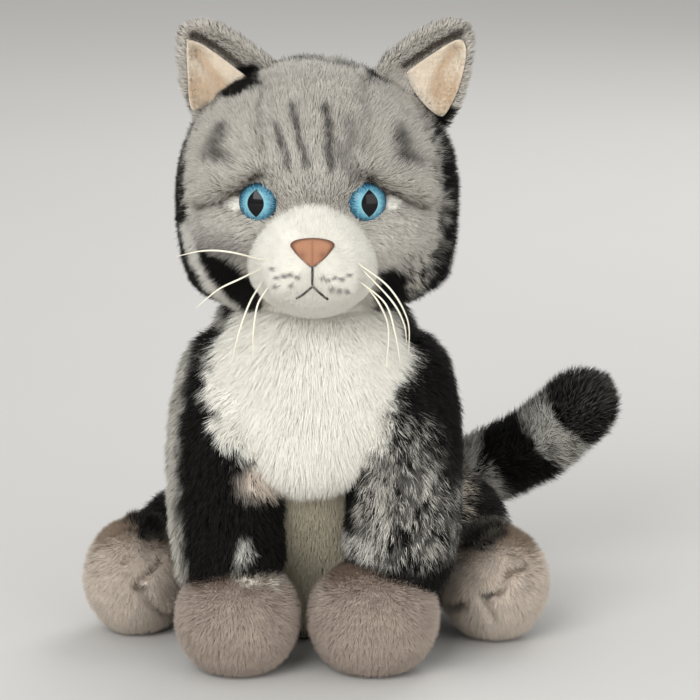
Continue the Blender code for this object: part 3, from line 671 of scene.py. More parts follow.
head = dict(
    at=(0, -46, 199), half=(52.6, 46.8, 49.6), square=2.3, crownSeam=18, backSeam=-36, chinSeam=185,
    shape=bothSides(
        dict(at=(44, -60, 168), size=(15, 24, 17), push=6.5),  # cheeks
        dict(at=(32, -84, 186), size=(12, 18, 11), push=2.2),
        dict(at=(0, -66, 250), size=(16, 30, 12), push=3.5),  # crown
        dict(at=(0, -84, 232), size=(15, 20, 18), push=2.6),
        dict(at=(36, -76, 225), size=(16, 22, 16), push=2.5),  # brows
        dict(line=[(20, -60, 246), (20.5, -80, 238), (19.5, -92, 222)], wide=3.0, push=-3.2),
        dict(ledge=[(20, 213.5), (24, 211), (34, 205), (46, 199)], push=4.2, back=3.0, reach=13),
        dict(at=(22.5, -92, 202), size=(9, 14, 8.5), push=-3.6),  # eye hollows
    ),
)
facePatches = [
    mark("pale", (0, 214), (17, 9), 0.6, strength=0.45),
    mark("pale", (33, 188), (14, 9), 0.8, strength=0.35),
    mark("pale", (-33, 190), (14, 8), 0.8, strength=0.35),
    # grey on the left cheek, made darker as painted shade
    mark("smoke", (-36, 182), (15, 7), 0.8, strength=0.95),
    # forehead stripes
    stroke("soot", [(-13.2, 230), (-9.2, 214)], 1.3, 0.9, rag=0.6, strength=0.85),
    stroke("soot", [(-7.2, 236.5), (-2.4, 215.5)], 1.4, 0.9, rag=0.6, strength=0.85),
    stroke("soot", [(4.8, 236.5), (7.4, 214.5)], 1.6, 0.9, rag=0.6, strength=0.9),
    stroke("soot", [(9.5, 224), (11.5, 214)], 1.2, 0.9, rag=0.6, strength=0.55),
    stroke("slate", [(12.8, 230), (15.8, 211)], 2.6, 0.9, rag=0.6, strength=0.6),
    # smudges over the brows
    stroke("soot", [(-37.5, 219), (-35, 227.5)], 2.8, 0.9, rag=0.5, strength=0.85),
    stroke("soot", [(-41, 217.5), (-31.5, 217.8)], 2.2, 0.9, rag=0.5, strength=0.6),
    stroke("soot", [(35.5, 217.5), (33, 227)], 2.6, 0.9, rag=0.5, strength=0.85),
    stroke("soot", [(31, 219), (40.5, 215.5)], 2.0, 0.9, rag=0.5, strength=0.6),
    *bothSides(
        # shade along the seams and under the brows, and the pale corner beside each eye
        stroke("slate", [(20.5, 244), (19.8, 222)], 1.8, 1.0, rag=0.35, strength=0.4),
        stroke("umber", [(21.5, 213), (24, 210.4), (34, 204.3), (43, 199.8)], 1.7, 0.8, rag=0.5, strength=0.85),
        mark("snow", (31.6, 200.8), (3.4, 2.6), 0.4),
    ),
    # lower cheeks
    stroke("coal", [(-45, 176), (-33, 172), (-26, 166), (-27, 156)], 7.5, 0.15),
    stroke("coal", [(-30, 164), (-38, 168)], 7.5, 0.15),
    stroke("coal", [(-56, 212), (-55, 192), (-52, 174), (-45, 160), (-36, 148)], 6.4, 0.25, None, rag=0.4, ragSize=2.2),
    stroke("pale", [(-49, 188), (-45.5, 176), (-38, 164), (-27, 152)], 2.5, 0.35, None),
    mark("coal", (30, 163), (7, 14), 0.2),
    mark("coal", (44, 166), (13, 16), 0.4, speckle=0.6, lock=3.6, lockShare=0.9),
    # dark edge all round, and the dark back
    stroke("coal", [(-47, 236), (-53, 224), (-56, 208)], 5.2, 0.3, None, rag=0.4, ragSize=2.2),
    stroke("coal", [(48, 238), (54.5, 222), (57, 200), (55.5, 178), (51, 162), (43, 150)], 7.8, 0.3, None,
           rag=0.4, ragSize=2.2),
    mark("snow", (0, 149), (24, 11), 0.3, None),
    dict(at=(0, -14, 200), size=(150, 30, 150), colour="coal", soft=0.1),
    stroke("coal", [(-46, 236), (-33, 241.5), (-24, 245)], 3.6, 0.4, -36, rag=0.5),
    dict(line=[(-4, -50, 254), (8, -54, 254), (16, -50, 252)], wide=4.5, colour="soot", soft=0.5, rag=0.6,
         strength=0.9),
    stroke("coal", [(23, 248), (33, 245.5), (42, 240.5), (50, 233)], 3.6, 0.4, -36, rag=0.5),
    dict(line=[(46, -57, 240), (54, -52, 230)], wide=6.0, colour="coal", soft=0.3),
]
faceCoat = dict(
    colour="ash", material=longFur, pile=6.4, density=5.65, wide=0.265, lean=40, fall=66, tuft=5.0, tuftBend=0.42,
    stray=0.15, clump=2.6, clumpShare=0.4, follow=0.85, rootShade=0.5, vary=0.14, mottle=0.16, tipShare=0.45,
    patches=facePatches,
    guides=bothSides(
        ((0, -95, 215), (0, -0.3, 1)), ((0, -75, 245), (0, 0.6, 0.8)), ((0, -46, 252), (0, 1, 0.1)),
        ((14, -93, 208), (0.1, 0, 1)), ((34, -84, 216), (0.7, 0.2, 0.6)), ((30, -84, 232), (0.6, 0.2, 0.9)),
        ((46, -70, 205), (1, 0.3, -0.2)), ((34, -85, 190), (1, 0.1, -0.5)), ((42, -78, 174), (0.9, 0.2, -0.9)),
        ((30, -80, 160), (0.6, 0.2, -1)), ((54, -46, 200), (0.7, 0.8, -0.4)), ((50, -50, 165), (0.9, 0.3, -0.8)),
        ((38, -46, 240), (0.6, 0.6, 0.6)), ((0, -10, 235), (0, 0.6, -1)), ((0, 0, 205), (0, 0.1, -1)),
        ((0, -10, 170), (0, 0, -1)), ((45, -20, 200), (0.2, 0.5, -1)), ((0, -60, 150), (0, 0.3, -1)),
        ((25, -40, 155), (0.3, 0.3, -1)),
    ),
    bare=[  # muzzle, neck and eyes
        dict(at=(0, -84, 178), size=(24, 26, 22)), dict(at=(0, -38, 146), size=(30, 26, 17)),
        dict(at=(23.4, -92, 202.8), size=(6.4, 20, 5.8)), dict(at=(-24.2, -92, 202.3), size=(6.4, 20, 6.0)),
    ],
    lengths=[
        dict(at=(0, -92, 198), size=(24, 30, 10), pile=2.8, soft=0.5),
        *bothSides(dict(at=(32, -88, 201), size=(5, 14, 4), pile=2.4, soft=0.4)),
        dict(at=(0, -20, 200), size=(150, 30, 150), pile=8.5, soft=0.1),
        dict(line=[(46, 240), (54.5, 222), (57, 200), (55.5, 178), (51, 162)], wide=6, flat=True, pile=9.0,
             stand=0.5, soft=0.3),
        dict(line=[(-47, 238), (-53, 224), (-56, 208), (-55, 190)], wide=5, flat=True, pile=6.0, stand=0.7, soft=0.3),
        *bothSides(dict(line=[(-50, -40, 160), (-30, -60, 148)], wide=14, pile=8.0, soft=0.4)),
    ],
)
backCoat = dict(
    faceCoat, colour="coal", pile=8.5, density=2.2, wide=0.42, rootShade=0.6, tipShare=0.25, lengths=(),
    sheenTips=sheenTipped(0.35),
    patches=[
        *(dict(line=[(-54, -30, z - 8), (-30, 0, z), (0, 8, z + 4), (30, 0, z), (54, -30, z - 8)], wide=wide,
               behind=-22, colour="silver", soft=0.4, rag=0.8, ragSize=6, speckle=0.66, lock=4)
          for z, wide in ((240, 6), (216, 6.5), (190, 6.5), (166, 5.5))),
        dict(at=(0, -10, 205), size=(7, 60, 60), colour="coal", soft=0.5, rag=0.4, ragSize=5),
    ],
)

headSkin = addBall("headSkin", head["at"], head["half"], 6)
squarish(headSkin, head["at"], head["half"], head["square"])
stuffed(headSkin, cap=2.0, pressure=400, voxel=5.0)
sculpt(headSkin, head["shape"])
filling(headSkin, "headStuffing", "head", "head_stuffing", 2.4)

seam, back, low = head["crownSeam"], (0, head["backSeam"], 0), (0, 0, head["chinSeam"])
between = [((seam, 0, 0), (1, 0, 0)), ((-seam, 0, 0), (-1, 0, 0)), (back, (0, 1, 0))]
cuts = dict(
    crownPanel=([*between, (low, (0, 0, -1))], "head_crown_panel"),
    chinPanel=([*between, (low, (0, 0, 1))], "head_chin_panel"),
    cheekPanelLeft=([((seam, 0, 0), (-1, 0, 0)), (back, (0, 1, 0))], "head_cheek_panel_left"),
    cheekPanelRight=([((-seam, 0, 0), (1, 0, 0)), (back, (0, 1, 0))], "head_cheek_panel_right"),
    backPanel=([(back, (0, -1, 0))], "head_back_panel"),
)
for number, (name, (planes, node)) in enumerate(cuts.items()):
    skin = copyOf(headSkin, name + "Skin")
    for at, way in planes:
        cutOff(skin, at, way)
    coat, slot = (backCoat, "black_pile") if name == "backPanel" else (faceCoat, "gray_pile")
    dressed(name, skin, coat, 100 + number, "head", node)
drop(headSkin)
print("head panels done")

muzzle = melted("muzzleSkin", [
    addBall("muzzleMain", (0, -83, 178), (27.2, 23.8, 23.5)),
    addBall("muzzleBridge", (0, -86, 194.5), (16, 12.5, 10.5), 4),
    addBall("muzzlePadLeft", (10, -100.5, 172), (10, 8, 9), 4),
    addBall("muzzlePadRight", (-10, -100.5, 172), (10, 8, 9), 4),
], voxel=1.5, rounds=12)
stuffed(muzzle, cap=1.2, pressure=1000)
sculpt(muzzle, [
    dict(line=[(0, -110, 180), (0, -110, 171), (5, -109, 168), (10, -106, 166)], wide=1.6, push=-1.1),
    dict(line=[(0, -110, 171), (-5, -109, 168), (-10, -106, 166)], wide=1.6, push=-1.1),
])
filling(muzzle, "muzzleStuffing", "head", "muzzle_stuffing")
muzzleCoat = dict(
    colour="ivory", material=whiteFur, pile=2.8, density=10.0, wide=0.26, short=True, clump=1.8, lean=30, fall=58,
    tuft=3.0, tuftBend=0.32, stray=0.12, follow=0.9, rootShade=0.86, skinShade=0.85, vary=0.05,
    guides=bothSides(
        ((0, -100, 196), (0, 0, 1)), ((12, -104, 180), (1, 0, 0.2)), ((0, -106, 170), (0, 0, -1)),
        ((16, -98, 166), (1, 0, -0.8)), ((0, -98, 160), (0, 0, -1)),
    ),
    patches=[mark("soot", at, (1.0, 0.75), 0.7, None, rag=0.4, ragSize=1.0, strength=0.75) for at in (
        (-15.2, 177), (-13.5, 173.8), (-14, 170.5), (-10.7, 174.7), (-8.5, 175.5), (-8.2, 171.6), (-5.7, 174.7),
        (3.9, 174.7), (6.1, 173.8), (8.4, 174.4), (10.9, 173.3), (13.7, 174.7), (7.5, 170.5), (10, 169.6),
        (13, 168.9))],
    bare=[dict(at=head["at"], size=(50, 44, 46))],
)

thread = plainMaterial("blackThread", "thread", roughness=0.55, scale=4000.0, vary=0.3)
suede = furMaterial("noseSuede", roughness=0.95, sheen=0.1, swing=0.12, scale=1600.0)


def tubeOn(name, route, radius, material, taper=False):
    thinnest, firstTurn = 0.3, 0.15  # the taper is a sine from thick near the root to thin at the end
    deselectAll()
    curve = bpy.data.curves.new(name, "CURVE")
    curve.dimensions, curve.bevel_depth, curve.bevel_resolution, curve.use_fill_caps = "3D", radius * mm, 2, True
    line = curve.splines.new("POLY")
    last = len(route) - 1
    line.points.add(last)
    for i, spot in enumerate(route):
        line.points[i].co = (*(Vector(spot) * mm), 1)
        swell = math.sin(math.pi * (firstTurn + (1 - firstTurn) * i / last))
        line.points[i].radius = thinnest + (1 - thinnest) * swell if taper else 1
    made = bpy.data.objects.new(name, curve)
    bpy.context.scene.collection.objects.link(made)
    pick(made)
    bpy.ops.object.convert(target="MESH")
    made = bpy.context.object
    made.data.materials.clear()
    made.data.materials.append(material)
    bpy.ops.object.shade_smooth()
    return made


def smoothLine(spots, count):
    spots = [np.array(p, float) for p in spots]
    padded = [2 * spots[0] - spots[1], *spots, 2 * spots[-1] - spots[-2]]
    out = []
    for i in range(count + 1):
        along = (len(spots) - 1) * i / count
        span = min(int(along), len(spots) - 2)
        t = along - span
        a, b, c, d = padded[span:span + 4]
        out.append((2 * b + (c - a) * t + (2 * a - 5 * b + 4 * c - d) * t ** 2 + (3 * b - a - 3 * c + d) * t ** 3) / 2)
    return out


mouth = dict(
    stem=np.linspace(180, 170.4, 6), stemRadius=0.5, smileRadius=0.55,
    smile=[(-6.6, 165.8), (-4.2, 167.2), (-1.6, 169.4), (0, 170.6), (1.6, 169.4), (4.2, 167.0), (6.2, 165.4)],
)
stem = [onSkin(muzzle, 0, z, 1.0) for z in mouth["stem"]]
finished(tubeOn("mouthStem", stem, mouth["stemRadius"], thread), "head", ["mouth_stem_thread"])
smile = smoothLine([onSkin(muzzle, x, z, 1.0) for x, z in mouth["smile"]], 24)
finished(tubeOn("mouthSmile", smile, mouth["smileRadius"], thread), "head", ["mouth_smile_thread"])

noseShape = dict(height=185.4, half=(10.8, 3.0, 6.4), tilt=-10, groove=0.7)
nose = addBall("nosePad", (0, 0, 0), noseShape["half"])
co = points(nose)
rise = co[:, 2] / (6.2 * mm)
co[:, 0] *= np.clip(0.74 + 0.40 * rise, 0.25, 1.1)  # wide above, narrow below
co[:, 2] *= np.where(rise > 0, 0.75, 1.15)
setPoints(nose, co)
sculpt(nose, [dict(line=[(0, -4, 5), (0, -4, -8)], wide=noseShape["groove"], push=-0.4)])
co = points(nose)
# painted shade: darker round the edge, in the groove and in the two nostrils
rim = np.maximum(rising(-co[:, 1], 2.2 * mm, 0.9 * mm), 0.45 * np.exp(-(co[:, 0] / (0.5 * mm)) ** 2))
nostril = ((np.abs(co[:, 0]) - 4.2 * mm) / (1.6 * mm)) ** 2 + ((co[:, 2] + 2.2 * mm) / (1.5 * mm)) ** 2
rim = np.maximum(rim, 0.5 * np.exp(-nostril))
tinted(nose.data, linear("suede") + (linear("suedeShade") - linear("suede")) * (rim * 0.8)[:, None])
turn = np.array(Euler((math.radians(noseShape["tilt"]), 0, 0)).to_matrix())
spot = onSkin(muzzle, 0, noseShape["height"]) + Vector((0, -0.2, 0))
setPoints(nose, co @ turn.T + np.array(spot) * mm)
nose.data.materials.append(suede)
pick(nose)
bpy.ops.object.shade_smooth()
finished(nose, "head", ["nose"])
dressed("muzzlePanel", muzzle, muzzleCoat, 120, "head", "muzzle_panel")
print("muzzle, mouth and nose done")

# eyes: domed plastic, painted under a clear gloss
eye = dict(
    seat=(22.3, -89.8, 202), facing=(0.26, -0.96, 0.04), radius=8.3, dome=4.8, sink=0.9, edge=0.16, crease=40,
    iris=[(0.0, (126, 178, 188)), (0.38, (138, 192, 202)), (0.62, (116, 176, 194)), (0.8, (88, 148, 172)),
          (0.93, (50, 96, 120)), (1.0, (14, 24, 32))],
    pupil=dict(wide=2.35, tall=1.45, black=(0.004, 0.004, 0.005, 1)),
)


def eyeMaterial():
    made, tree, shader = newMaterial("eyePlastic", 0.25, Coat_Weight=0.34, Coat_Roughness=0.03, Specular_IOR_Level=0.05)
    tag = addStep(tree, "Attribute", None)
    tag.attribute_name = "irisPlace"
    place = tag.outputs["Vector"]
    reach = addStep(tree, "VectorMath", "LENGTH", (0, place)).outputs["Value"]
    tone = addStep(tree, "ValToRGB", None, ("Fac", reach))
    while len(tone.color_ramp.elements) < len(eye["iris"]):
        tone.color_ramp.elements.new(0.5)
    for element, (at, colour) in zip(tone.color_ramp.elements, eye["iris"]):
        element.position, element.color = at, (*linear(colour), 1)
    # flecks that run outwards: noise on the turn round the pupil
    away = addStep(tree, "VectorMath", "NORMALIZE", (0, place))
    squeeze = addStep(tree, "VectorMath", "SCALE", (0, place), ("Scale", 1.4))
    stretch = addStep(tree, "VectorMath", "MULTIPLY_ADD", (0, away.outputs[0]), (1, (14.0, 14.0, 14.0)),
                   (2, squeeze.outputs[0]))
    noise = addStep(tree, "TexNoise", None, ("Vector", stretch.outputs[0]), ("Scale", 3.2), ("Detail", 5.0))
    fleck = addStep(tree, "MapRange", None, ("Value", noise.outputs["Fac"]), ("From Min", 0.46), ("From Max", 0.56))
    outer = addStep(tree, "MapRange", None, ("Value", reach), ("From Min", 0.4), ("From Max", 0.78))
    both = addStep(tree, "Math", "MULTIPLY", (0, fleck.outputs[0]), (1, outer.outputs[0]))
    flecked = addStep(tree, "Mix", "RGBA", ("A", tone.outputs["Color"]), ("B", (*linear("irisFleck"), 1)),
                   ("Factor", both.outputs[0]))
    # pupil: an upright lens shape
    size = addStep(tree, "VectorMath", "ABSOLUTE", (0, place))
    parts = addStep(tree, "SeparateXYZ", None, (0, size.outputs[0]))
    scaled = addStep(tree, "Math", "MULTIPLY", (0, parts.outputs[1]), (1, eye["pupil"]["tall"]))
    tall = addStep(tree, "Math", "POWER", (0, scaled.outputs[0]), (1, 2.0))
    shape = addStep(tree, "Math", "MULTIPLY_ADD", (0, parts.outputs[0]), (1, eye["pupil"]["wide"]),
                    (2, tall.outputs[0]))
    pupil = addStep(tree, "MapRange", None, ("Value", shape.outputs[0]), ("From Min", 0.96), ("From Max", 1.04),
                 ("To Min", 1.0), ("To Max", 0.0))
    final = addStep(tree, "Mix", "RGBA", ("A", flecked.outputs["Result"]), ("B", eye["pupil"]["black"]),
                 ("Factor", pupil.outputs[0]))
    tree.links.new(final.outputs["Result"], shader.inputs["Base Color"])
    return made


eyePlastic = eyeMaterial()
for name, side in sides:
    deselectAll()
    bpy.ops.mesh.primitive_uv_sphere_add(segments=48, ring_count=32, radius=1.0)
    dome = bpy.context.object
    dome.name = "eye" + name.title()
    cutOff(dome, (0, 0, 0), (0, 0, -1))
    editAll(dome)
    bpy.ops.mesh.region_to_loop()
    bpy.ops.mesh.extrude_region_move(TRANSFORM_OT_translate={"value": (0, 0, -eye["edge"])})
    bpy.ops.mesh.edge_face_add()
    bpy.ops.object.mode_set(mode="OBJECT")
    co = points(dome)
    place = np.column_stack([co[:, 0], co[:, 1], np.zeros(len(co))])
    local = co * np.array([eye["radius"], eye["radius"], eye["dome"]]) * mm
    x, *rest = eye["facing"]
    way = Vector((side * x, *rest)).normalized()
    right = Vector((0, 0, 1)).cross(way).normalized()
    x, *rest = eye["seat"]
    seat = np.array([side * x, *rest]) * mm - np.array(way) * eye["sink"] * mm
    setPoints(dome, local @ np.array([right, way.cross(right), way]) + seat)
    tagged(dome.data, "irisPlace", place)
    dome.data.materials.clear()
    dome.data.materials.append(eyePlastic)
    pick(dome)
    bpy.ops.object.shade_smooth_by_angle(angle=math.radians(eye["crease"]))
    finished(dome, "head", ["eye_" + name])
print("eyes done")

ear = dict(
    y=-40.5, cup=5.5, thick=2.6,
    right=dict(
        middle=(-40, 248), heart=(-45, 249), shade=((-46, 242), (8, 6)),
        shell=[(-13, 245), (-18.4, 253), (-29.3, 261.5), (-38, 266.8), (-45.7, 269.2), (-51.5, 268), (-54, 264),
               (-54, 254), (-52.3, 243), (-49, 234), (-43, 226), (-24, 230)],
        lining=[(-52.4, 263.5), (-47, 261), (-40, 256.3), (-33, 251), (-28, 246.2), (-34, 241), (-43, 236),
                (-50.3, 234.5), (-52, 248)],
        fold=[(-48, 257), (-43, 250), (-37.5, 242.5)], base=[(-38, 242), (-25, 248)],
        rim=[(-49.5, 264.4), (-47, 263.8), (-40, 259.3), (-33, 254), (-26, 249)],
    ),
    left=dict(
        middle=(49, 249), heart=(54, 250), shade=((56, 240), (7, 8)),
        shell=[(25.3, 246), (31, 254.5), (41, 262.3), (51.3, 268), (58.5, 269.6), (62.8, 268), (64.2, 262),
               (62.8, 250), (60, 240), (56, 231), (49, 224), (33, 232)],
        lining=[(38.8, 249), (46, 254.3), (54, 259.5), (60.5, 263), (62.6, 261), (63, 256), (61, 246), (57.5, 237),
                (53, 231), (46, 236), (41, 243)],
        fold=[(58, 258), (53, 250), (50, 240)], base=[(46, 236), (57, 229)],
        rim=[(37, 251.5), (46, 257.3), (54, 262.3), (61, 266)],
    ),
)
inHead = dict(at=head["at"], size=(52, 45, 48))


def earReach(x, z, ring, middle):
    # how far out of the middle a spot lies, 1 at the outline
    ring = np.array(smoothLine([*ring, ring[0]], 240)[:-1])
    angles = np.arctan2(ring[:, 1] - middle[1], ring[:, 0] - middle[0])
    order = np.argsort(angles)
    far = np.hypot(ring[:, 0] - middle[0], ring[:, 1] - middle[1])
    angle = np.arctan2(z - middle[1], x - middle[0])
    edge = np.interp(angle, angles[order], far[order], period=math.tau)
    return np.hypot(x - middle[0], z - middle[1]) / edge, edge


def earDisc(name, shape, ring, middle, forward):
    deselectAll()
    bpy.ops.mesh.primitive_circle_add(vertices=48, radius=1.0, fill_type="TRIFAN")
    disc = bpy.context.object
    disc.name = name
    editAll(disc)
    bpy.ops.mesh.subdivide(number_cuts=6)
    bpy.ops.object.mode_set(mode="OBJECT")
    co = points(disc)
    angle = np.arctan2(co[:, 1], co[:, 0])
    r = np.hypot(co[:, 0], co[:, 1])
    edge = earReach(middle[0] + np.cos(angle), middle[1] + np.sin(angle), ring, middle)[1]
    x, z = middle[0] + np.cos(angle) * edge * r, middle[1] + np.sin(angle) * edge * r
    out = earReach(x, z, shape["shell"], shape["middle"])[0]
    depth = ear["y"] - ear["cup"] * np.clip(out, 0, 1.1) ** 2.2 - forward
    setPoints(disc, np.column_stack([x, depth, z]) * mm)
    if normals(disc)[:, 1].mean() > 0:
        editAll(disc)
        bpy.ops.mesh.flip_normals()
        bpy.ops.object.mode_set(mode="OBJECT")
    return disc


for name, side in sides:
    shape = ear[name]
    x, z = shape["middle"]
    shellCoat = dict(
        colour="earGrey", material=longFur, pile=4.2, density=5.0, wide=0.27, lean=32, fall=58, tuftBend=0.2,
        follow=0.85, tipShare=0.45, mottle=0.15,
        guides=[((x, -44, z + 17), (side * 0.3, 0.1, 1)), ((x + side * 14, -46, z + 12), (side * 0.8, 0, 0.6)),
                ((x + side * 12, -44, z - 12), (side * 1, 0.2, 0.1)),
                ((x - side * 18, -42, z + 6), (side * 0.5, 0.1, 0.8)), ((x, -36, z), (side * 0.2, 0.3, 1))],
        patches=[stroke("umber", shape["rim"], 1.9, 0.6, None, facing=True, strength=0.9),
                 stroke("coal", shape["base"], 5.0, 0.3, None, facing=True)],
        lengths=[dict(line=shape["rim"], wide=2.0, flat=True, pile=2.4, soft=0.4)],
        bare=[inHead, dict(ring=shape["lining"], middle=shape["heart"], facing=True)],
    )
    shell = earDisc("earSkin", shape, shape["shell"], shape["middle"], 0.0)
    applyModifier(shell, "SOLIDIFY", thickness=ear["thick"] * mm, offset=-1.0)
    applyModifier(shell, "SMOOTH", factor=0.5, iterations=2)
    dressed("earShell" + name.title(), shell, shellCoat, 140 + side, "head", "ear_shell_" + name,
            backing=0.01)
    liningCoat = dict(
        colour="cream", material=shortFur, pile=1.8, density=10, wide=0.26, short=True, lean=30, fall=60, tuft=3,
        tuftBend=0.25, follow=0.9, rootShade=0.9, skinShade=0.9, tipShare=0.15, guides=shellCoat["guides"],
        # painted shade: darker cream in the lower outer hollow of the lining and along its fold
        patches=[mark("creamDark", *shape["shade"], 0.8, None, strength=0.6),
                 stroke("creamDark", shape["fold"], 1.6, 0.9, None, strength=0.6)],
        bare=[inHead],
    )
    lining = earDisc("liningSkin", shape, shape["lining"], shape["heart"], 2.2)
    sculpt(lining, [dict(line=shape["fold"], wide=2.6, flat=True, push=-1.8)])
    dressed("earLining" + name.title(), lining, liningCoat, 150 + side, "head", "ear_lining_" + name,
            backing=0.7)
print("ears done")

# each whisker: its root on the muzzle as seen from the front, then the places that it runs through
whiskers = dict(
    left=[[(18, 179), (31, -112, 171), (38.5, -109, 157), (39.2, -105, 142.5)],
          [(20, 176.5), (32, -114, 166), (37, -111, 156), (38.2, -108, 147.5)],
          [(19, 172), (29.5, -110, 164), (33.6, -109, 151), (35.7, -104, 138)],
          [(20.5, 170), (26.8, -108, 164), (30.8, -106, 153), (30, -102, 136)]],
    right=[[(-19, 180), (-33, -109, 185), (-44, -106, 185), (-55, -102, 182)],
           [(-20, 177), (-29, -111, 174.5), (-38, -111, 170), (-47, -108, 162)],
           [(-20, 171.5), (-25, -109, 165), (-29.5, -109, 153), (-33, -105, 139)],
           [(-18, 169), (-22.2, -107, 163), (-24, -107, 152), (-24.5, -103, 140)]],
)
bristle = plainMaterial("whiskerBristle", "bristle", roughness=0.35, scale=900.0, vary=0.05)
muzzleShown = bpy.data.objects["muzzlePanel"]
for name, routes in whiskers.items():
    for number, ((x, z), *rest) in enumerate(routes, 1):
        route = smoothLine([onSkin(muzzleShown, x, z, -0.5), *rest], 24)
        made = tubeOn("whisker" + name.title() + str(number), route, 0.4, bristle, True)
        finished(made, "head", ["whisker_%s_%d" % (name, number)])
print("head done")

torso = dict(
    balls=[("chest", (0, -33, 113), (48, 39, 42)), ("rib", (0, -22, 95), (50.5, 42.5, 42)),
           ("waist", (0, -12, 76), (52, 45, 42)), ("loin", (0, -6, 56), (51.5, 44, 42)),
           ("seat", (0, 0, 37), (50, 42, 47.5)), ("ruff", (0, -38, 144), (36, 31, 22)),
           ("nape", (0, -36, 130), (43, 35, 32))],
    bellyHalf=26, bellyFront=-22, bellyTop=86, floor=0.4, bellyFloor=0.8,
)
bodyGuides = bothSides(
    ((0, -70, 140), (0, -0.2, -1)), ((0, -80, 90), (0, 0, -1)), ((50, -30, 110), (0.3, 0, -1)),
    ((45, -30, 140), (0.6, 0, -1)), ((0, 10, 120), (0, 0.1, -1)), ((0, 40, 50), (0, 0, -1)),
    ((50, 0, 40), (0.3, 0, -1)),
)
sideCoat = dict(
    colour="coal", material=longFur, pile=8.5, density=2.05, wide=0.39, tuft=5, follow=0.8, rootShade=0.6, mottle=0.15,
    tipShare=0.3, sheenTips=sheenTipped(0.35), guides=bodyGuides,
    bare=[  # under the legs, the belly, the bib and the head
        *bothSides(dict(line=[(37, -48, 119), (34, -68, 50)], wide=14), dict(at=(50, 5, 33), size=(26, 26, 26))),
        dict(at=(0, -66, 42), size=(27, 42, 50)), dict(at=(0, -57, 118), size=(36, 18, 28)),
        dict(at=(0, -58, 142), size=(32, 20, 16)), dict(at=head["at"], size=(50, 43, 46)),
    ],
    patches=[
        *(dict(band=band, route=[(0, 0, 0), (0, 0, 150)], behind=-22, colour="silver", soft=0.35, rag=0.9, ragSize=7,
               speckle=0.72, lock=4) for band in ((128, 140), (102, 116), (77, 90), (51, 65), (26, 39))),
        dict(at=(0, 20, 80), size=(10, 60, 95), colour="coal", soft=0.5, rag=0.4, ragSize=5),
        stroke("silver", [(-42, 146), (-50, 128), (-54, 104), (-55, 76), (-53, 40)], 8, 0.4, 10, rag=0.5, ragSize=4),
    ],
)
# the belly's pale pile is painted darker, as painted shade between the legs
bellyCoat = dict(
    colour="creamInShade", material=whiteFur, pile=4.4, density=3.4, wide=0.35, rootShade=0.8, skinShade=0.7, follow=0.9,
    guides=bodyGuides, bare=bothSides(dict(at=(35, -64, 60), size=(16, 16, 40))),
)
bibCoat = dict(
    colour="snow", material=whiteFur, pile=12, density=6.95, wide=0.28, lean=46, fall=74, tuft=6, tuftBend=0.24,
    stray=0.1, clump=3.0, follow=0.95, rootShade=0.97, skinShade=0.92, vary=0.02, mottle=0.01,
    guides=[
        *bothSides(
            ((0, -80, 145), (0, -0.2, -1)), ((22, -76, 140), (0.45, -0.1, -1)), ((36, -65, 124), (0.9, 0, -0.7)),
            ((24, -72, 100), (0.35, 0, -1)), ((0, -84, 100), (0, 0, -1))),
        ((34, -66, 104), (1, 0, -0.8)), ((-36, -66, 104), (-1, 0, -0.8)), ((0, -84, 80), (0, 0, -1)),
    ],
    lengths=[dict(line=[(s * 40 - 2, -55, 132), (s * 38 - 2, -60, 112), (s * 28 - 2, -66, 94)], wide=9, pile=15,
                  stand=0.8, soft=0.5) for s in (1, -1)],
    bare=[dict(at=(0, -16, 110), size=(80, 40, 80))],
)

torsoSkin = melted("torsoSkin", [addBall(*ball) for ball in torso["balls"]], voxel=2.4, rounds=12)
stuffed(torsoSkin, cap=2.0, pressure=400, voxel=5.0)
onFloor(torsoSkin, torso["floor"])
filling(torsoSkin, "torsoStuffing", "torso", "torso_stuffing", 2.0)

low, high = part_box("base_panel")
seat = addBall("basePanel", (low + high) / 2 / mm, ((high.x - low.x) / 2 / mm, (high.y - low.y) / 2 / mm, 8))
co = points(seat)
co[:, 2] = np.clip(co[:, 2], low.z + 0.1 * mm, high.z - 0.1 * mm)
setPoints(seat, co)
seat.data.materials.append(plainMaterial("pressedPile", "soot", roughness=0.95, scale=700.0, vary=0.3))
pick(seat)
bpy.ops.object.shade_smooth_by_angle(angle=math.radians(40))
finished(seat, "torso", ["base_panel"])

for name, side in sides:
    skin = copyOf(torsoSkin, "sideSkin")
    cutOff(skin, (0, 0, 0), (-side, 0, 0))
    dressed("sidePanel" + name.title(), skin, sideCoat, 200 + side, "torso", "side_panel_" + name)
belly = copyOf(torsoSkin, "bellySkin")
cutOff(belly, (torso["bellyHalf"], 0, 0), (1, 0, 0))
cutOff(belly, (-torso["bellyHalf"], 0, 0), (-1, 0, 0))
cutOff(belly, (0, torso["bellyFront"], 0), (0, 1, 0))
cutOff(belly, (0, 0, torso["bellyTop"]), (0, 0, 1))
setPoints(belly, points(belly) + normals(belly) * 1.6 * mm)
onFloor(belly, torso["bellyFloor"])
dressed("bellyPanel", belly, bellyCoat, 210, "torso", "belly_panel", 1.6)
drop(torsoSkin)
bib = melted("bibSkin", [
    addBall("bibTop", (0, -53, 141), (31, 18, 15)),
    addBall("bibMain", (-1, -57, 124), (39.5, 21, 27)),
    addBall("bibMiddle", (-2.5, -60, 108), (36.5, 19, 24)),
    addBall("bibPoint", (-3, -65, 95), (25, 15, 17), 4),
], voxel=2.0, rounds=24)
dressed("chestBib", bib, bibCoat, 220, "torso", "chest_bib")
print("torso done")

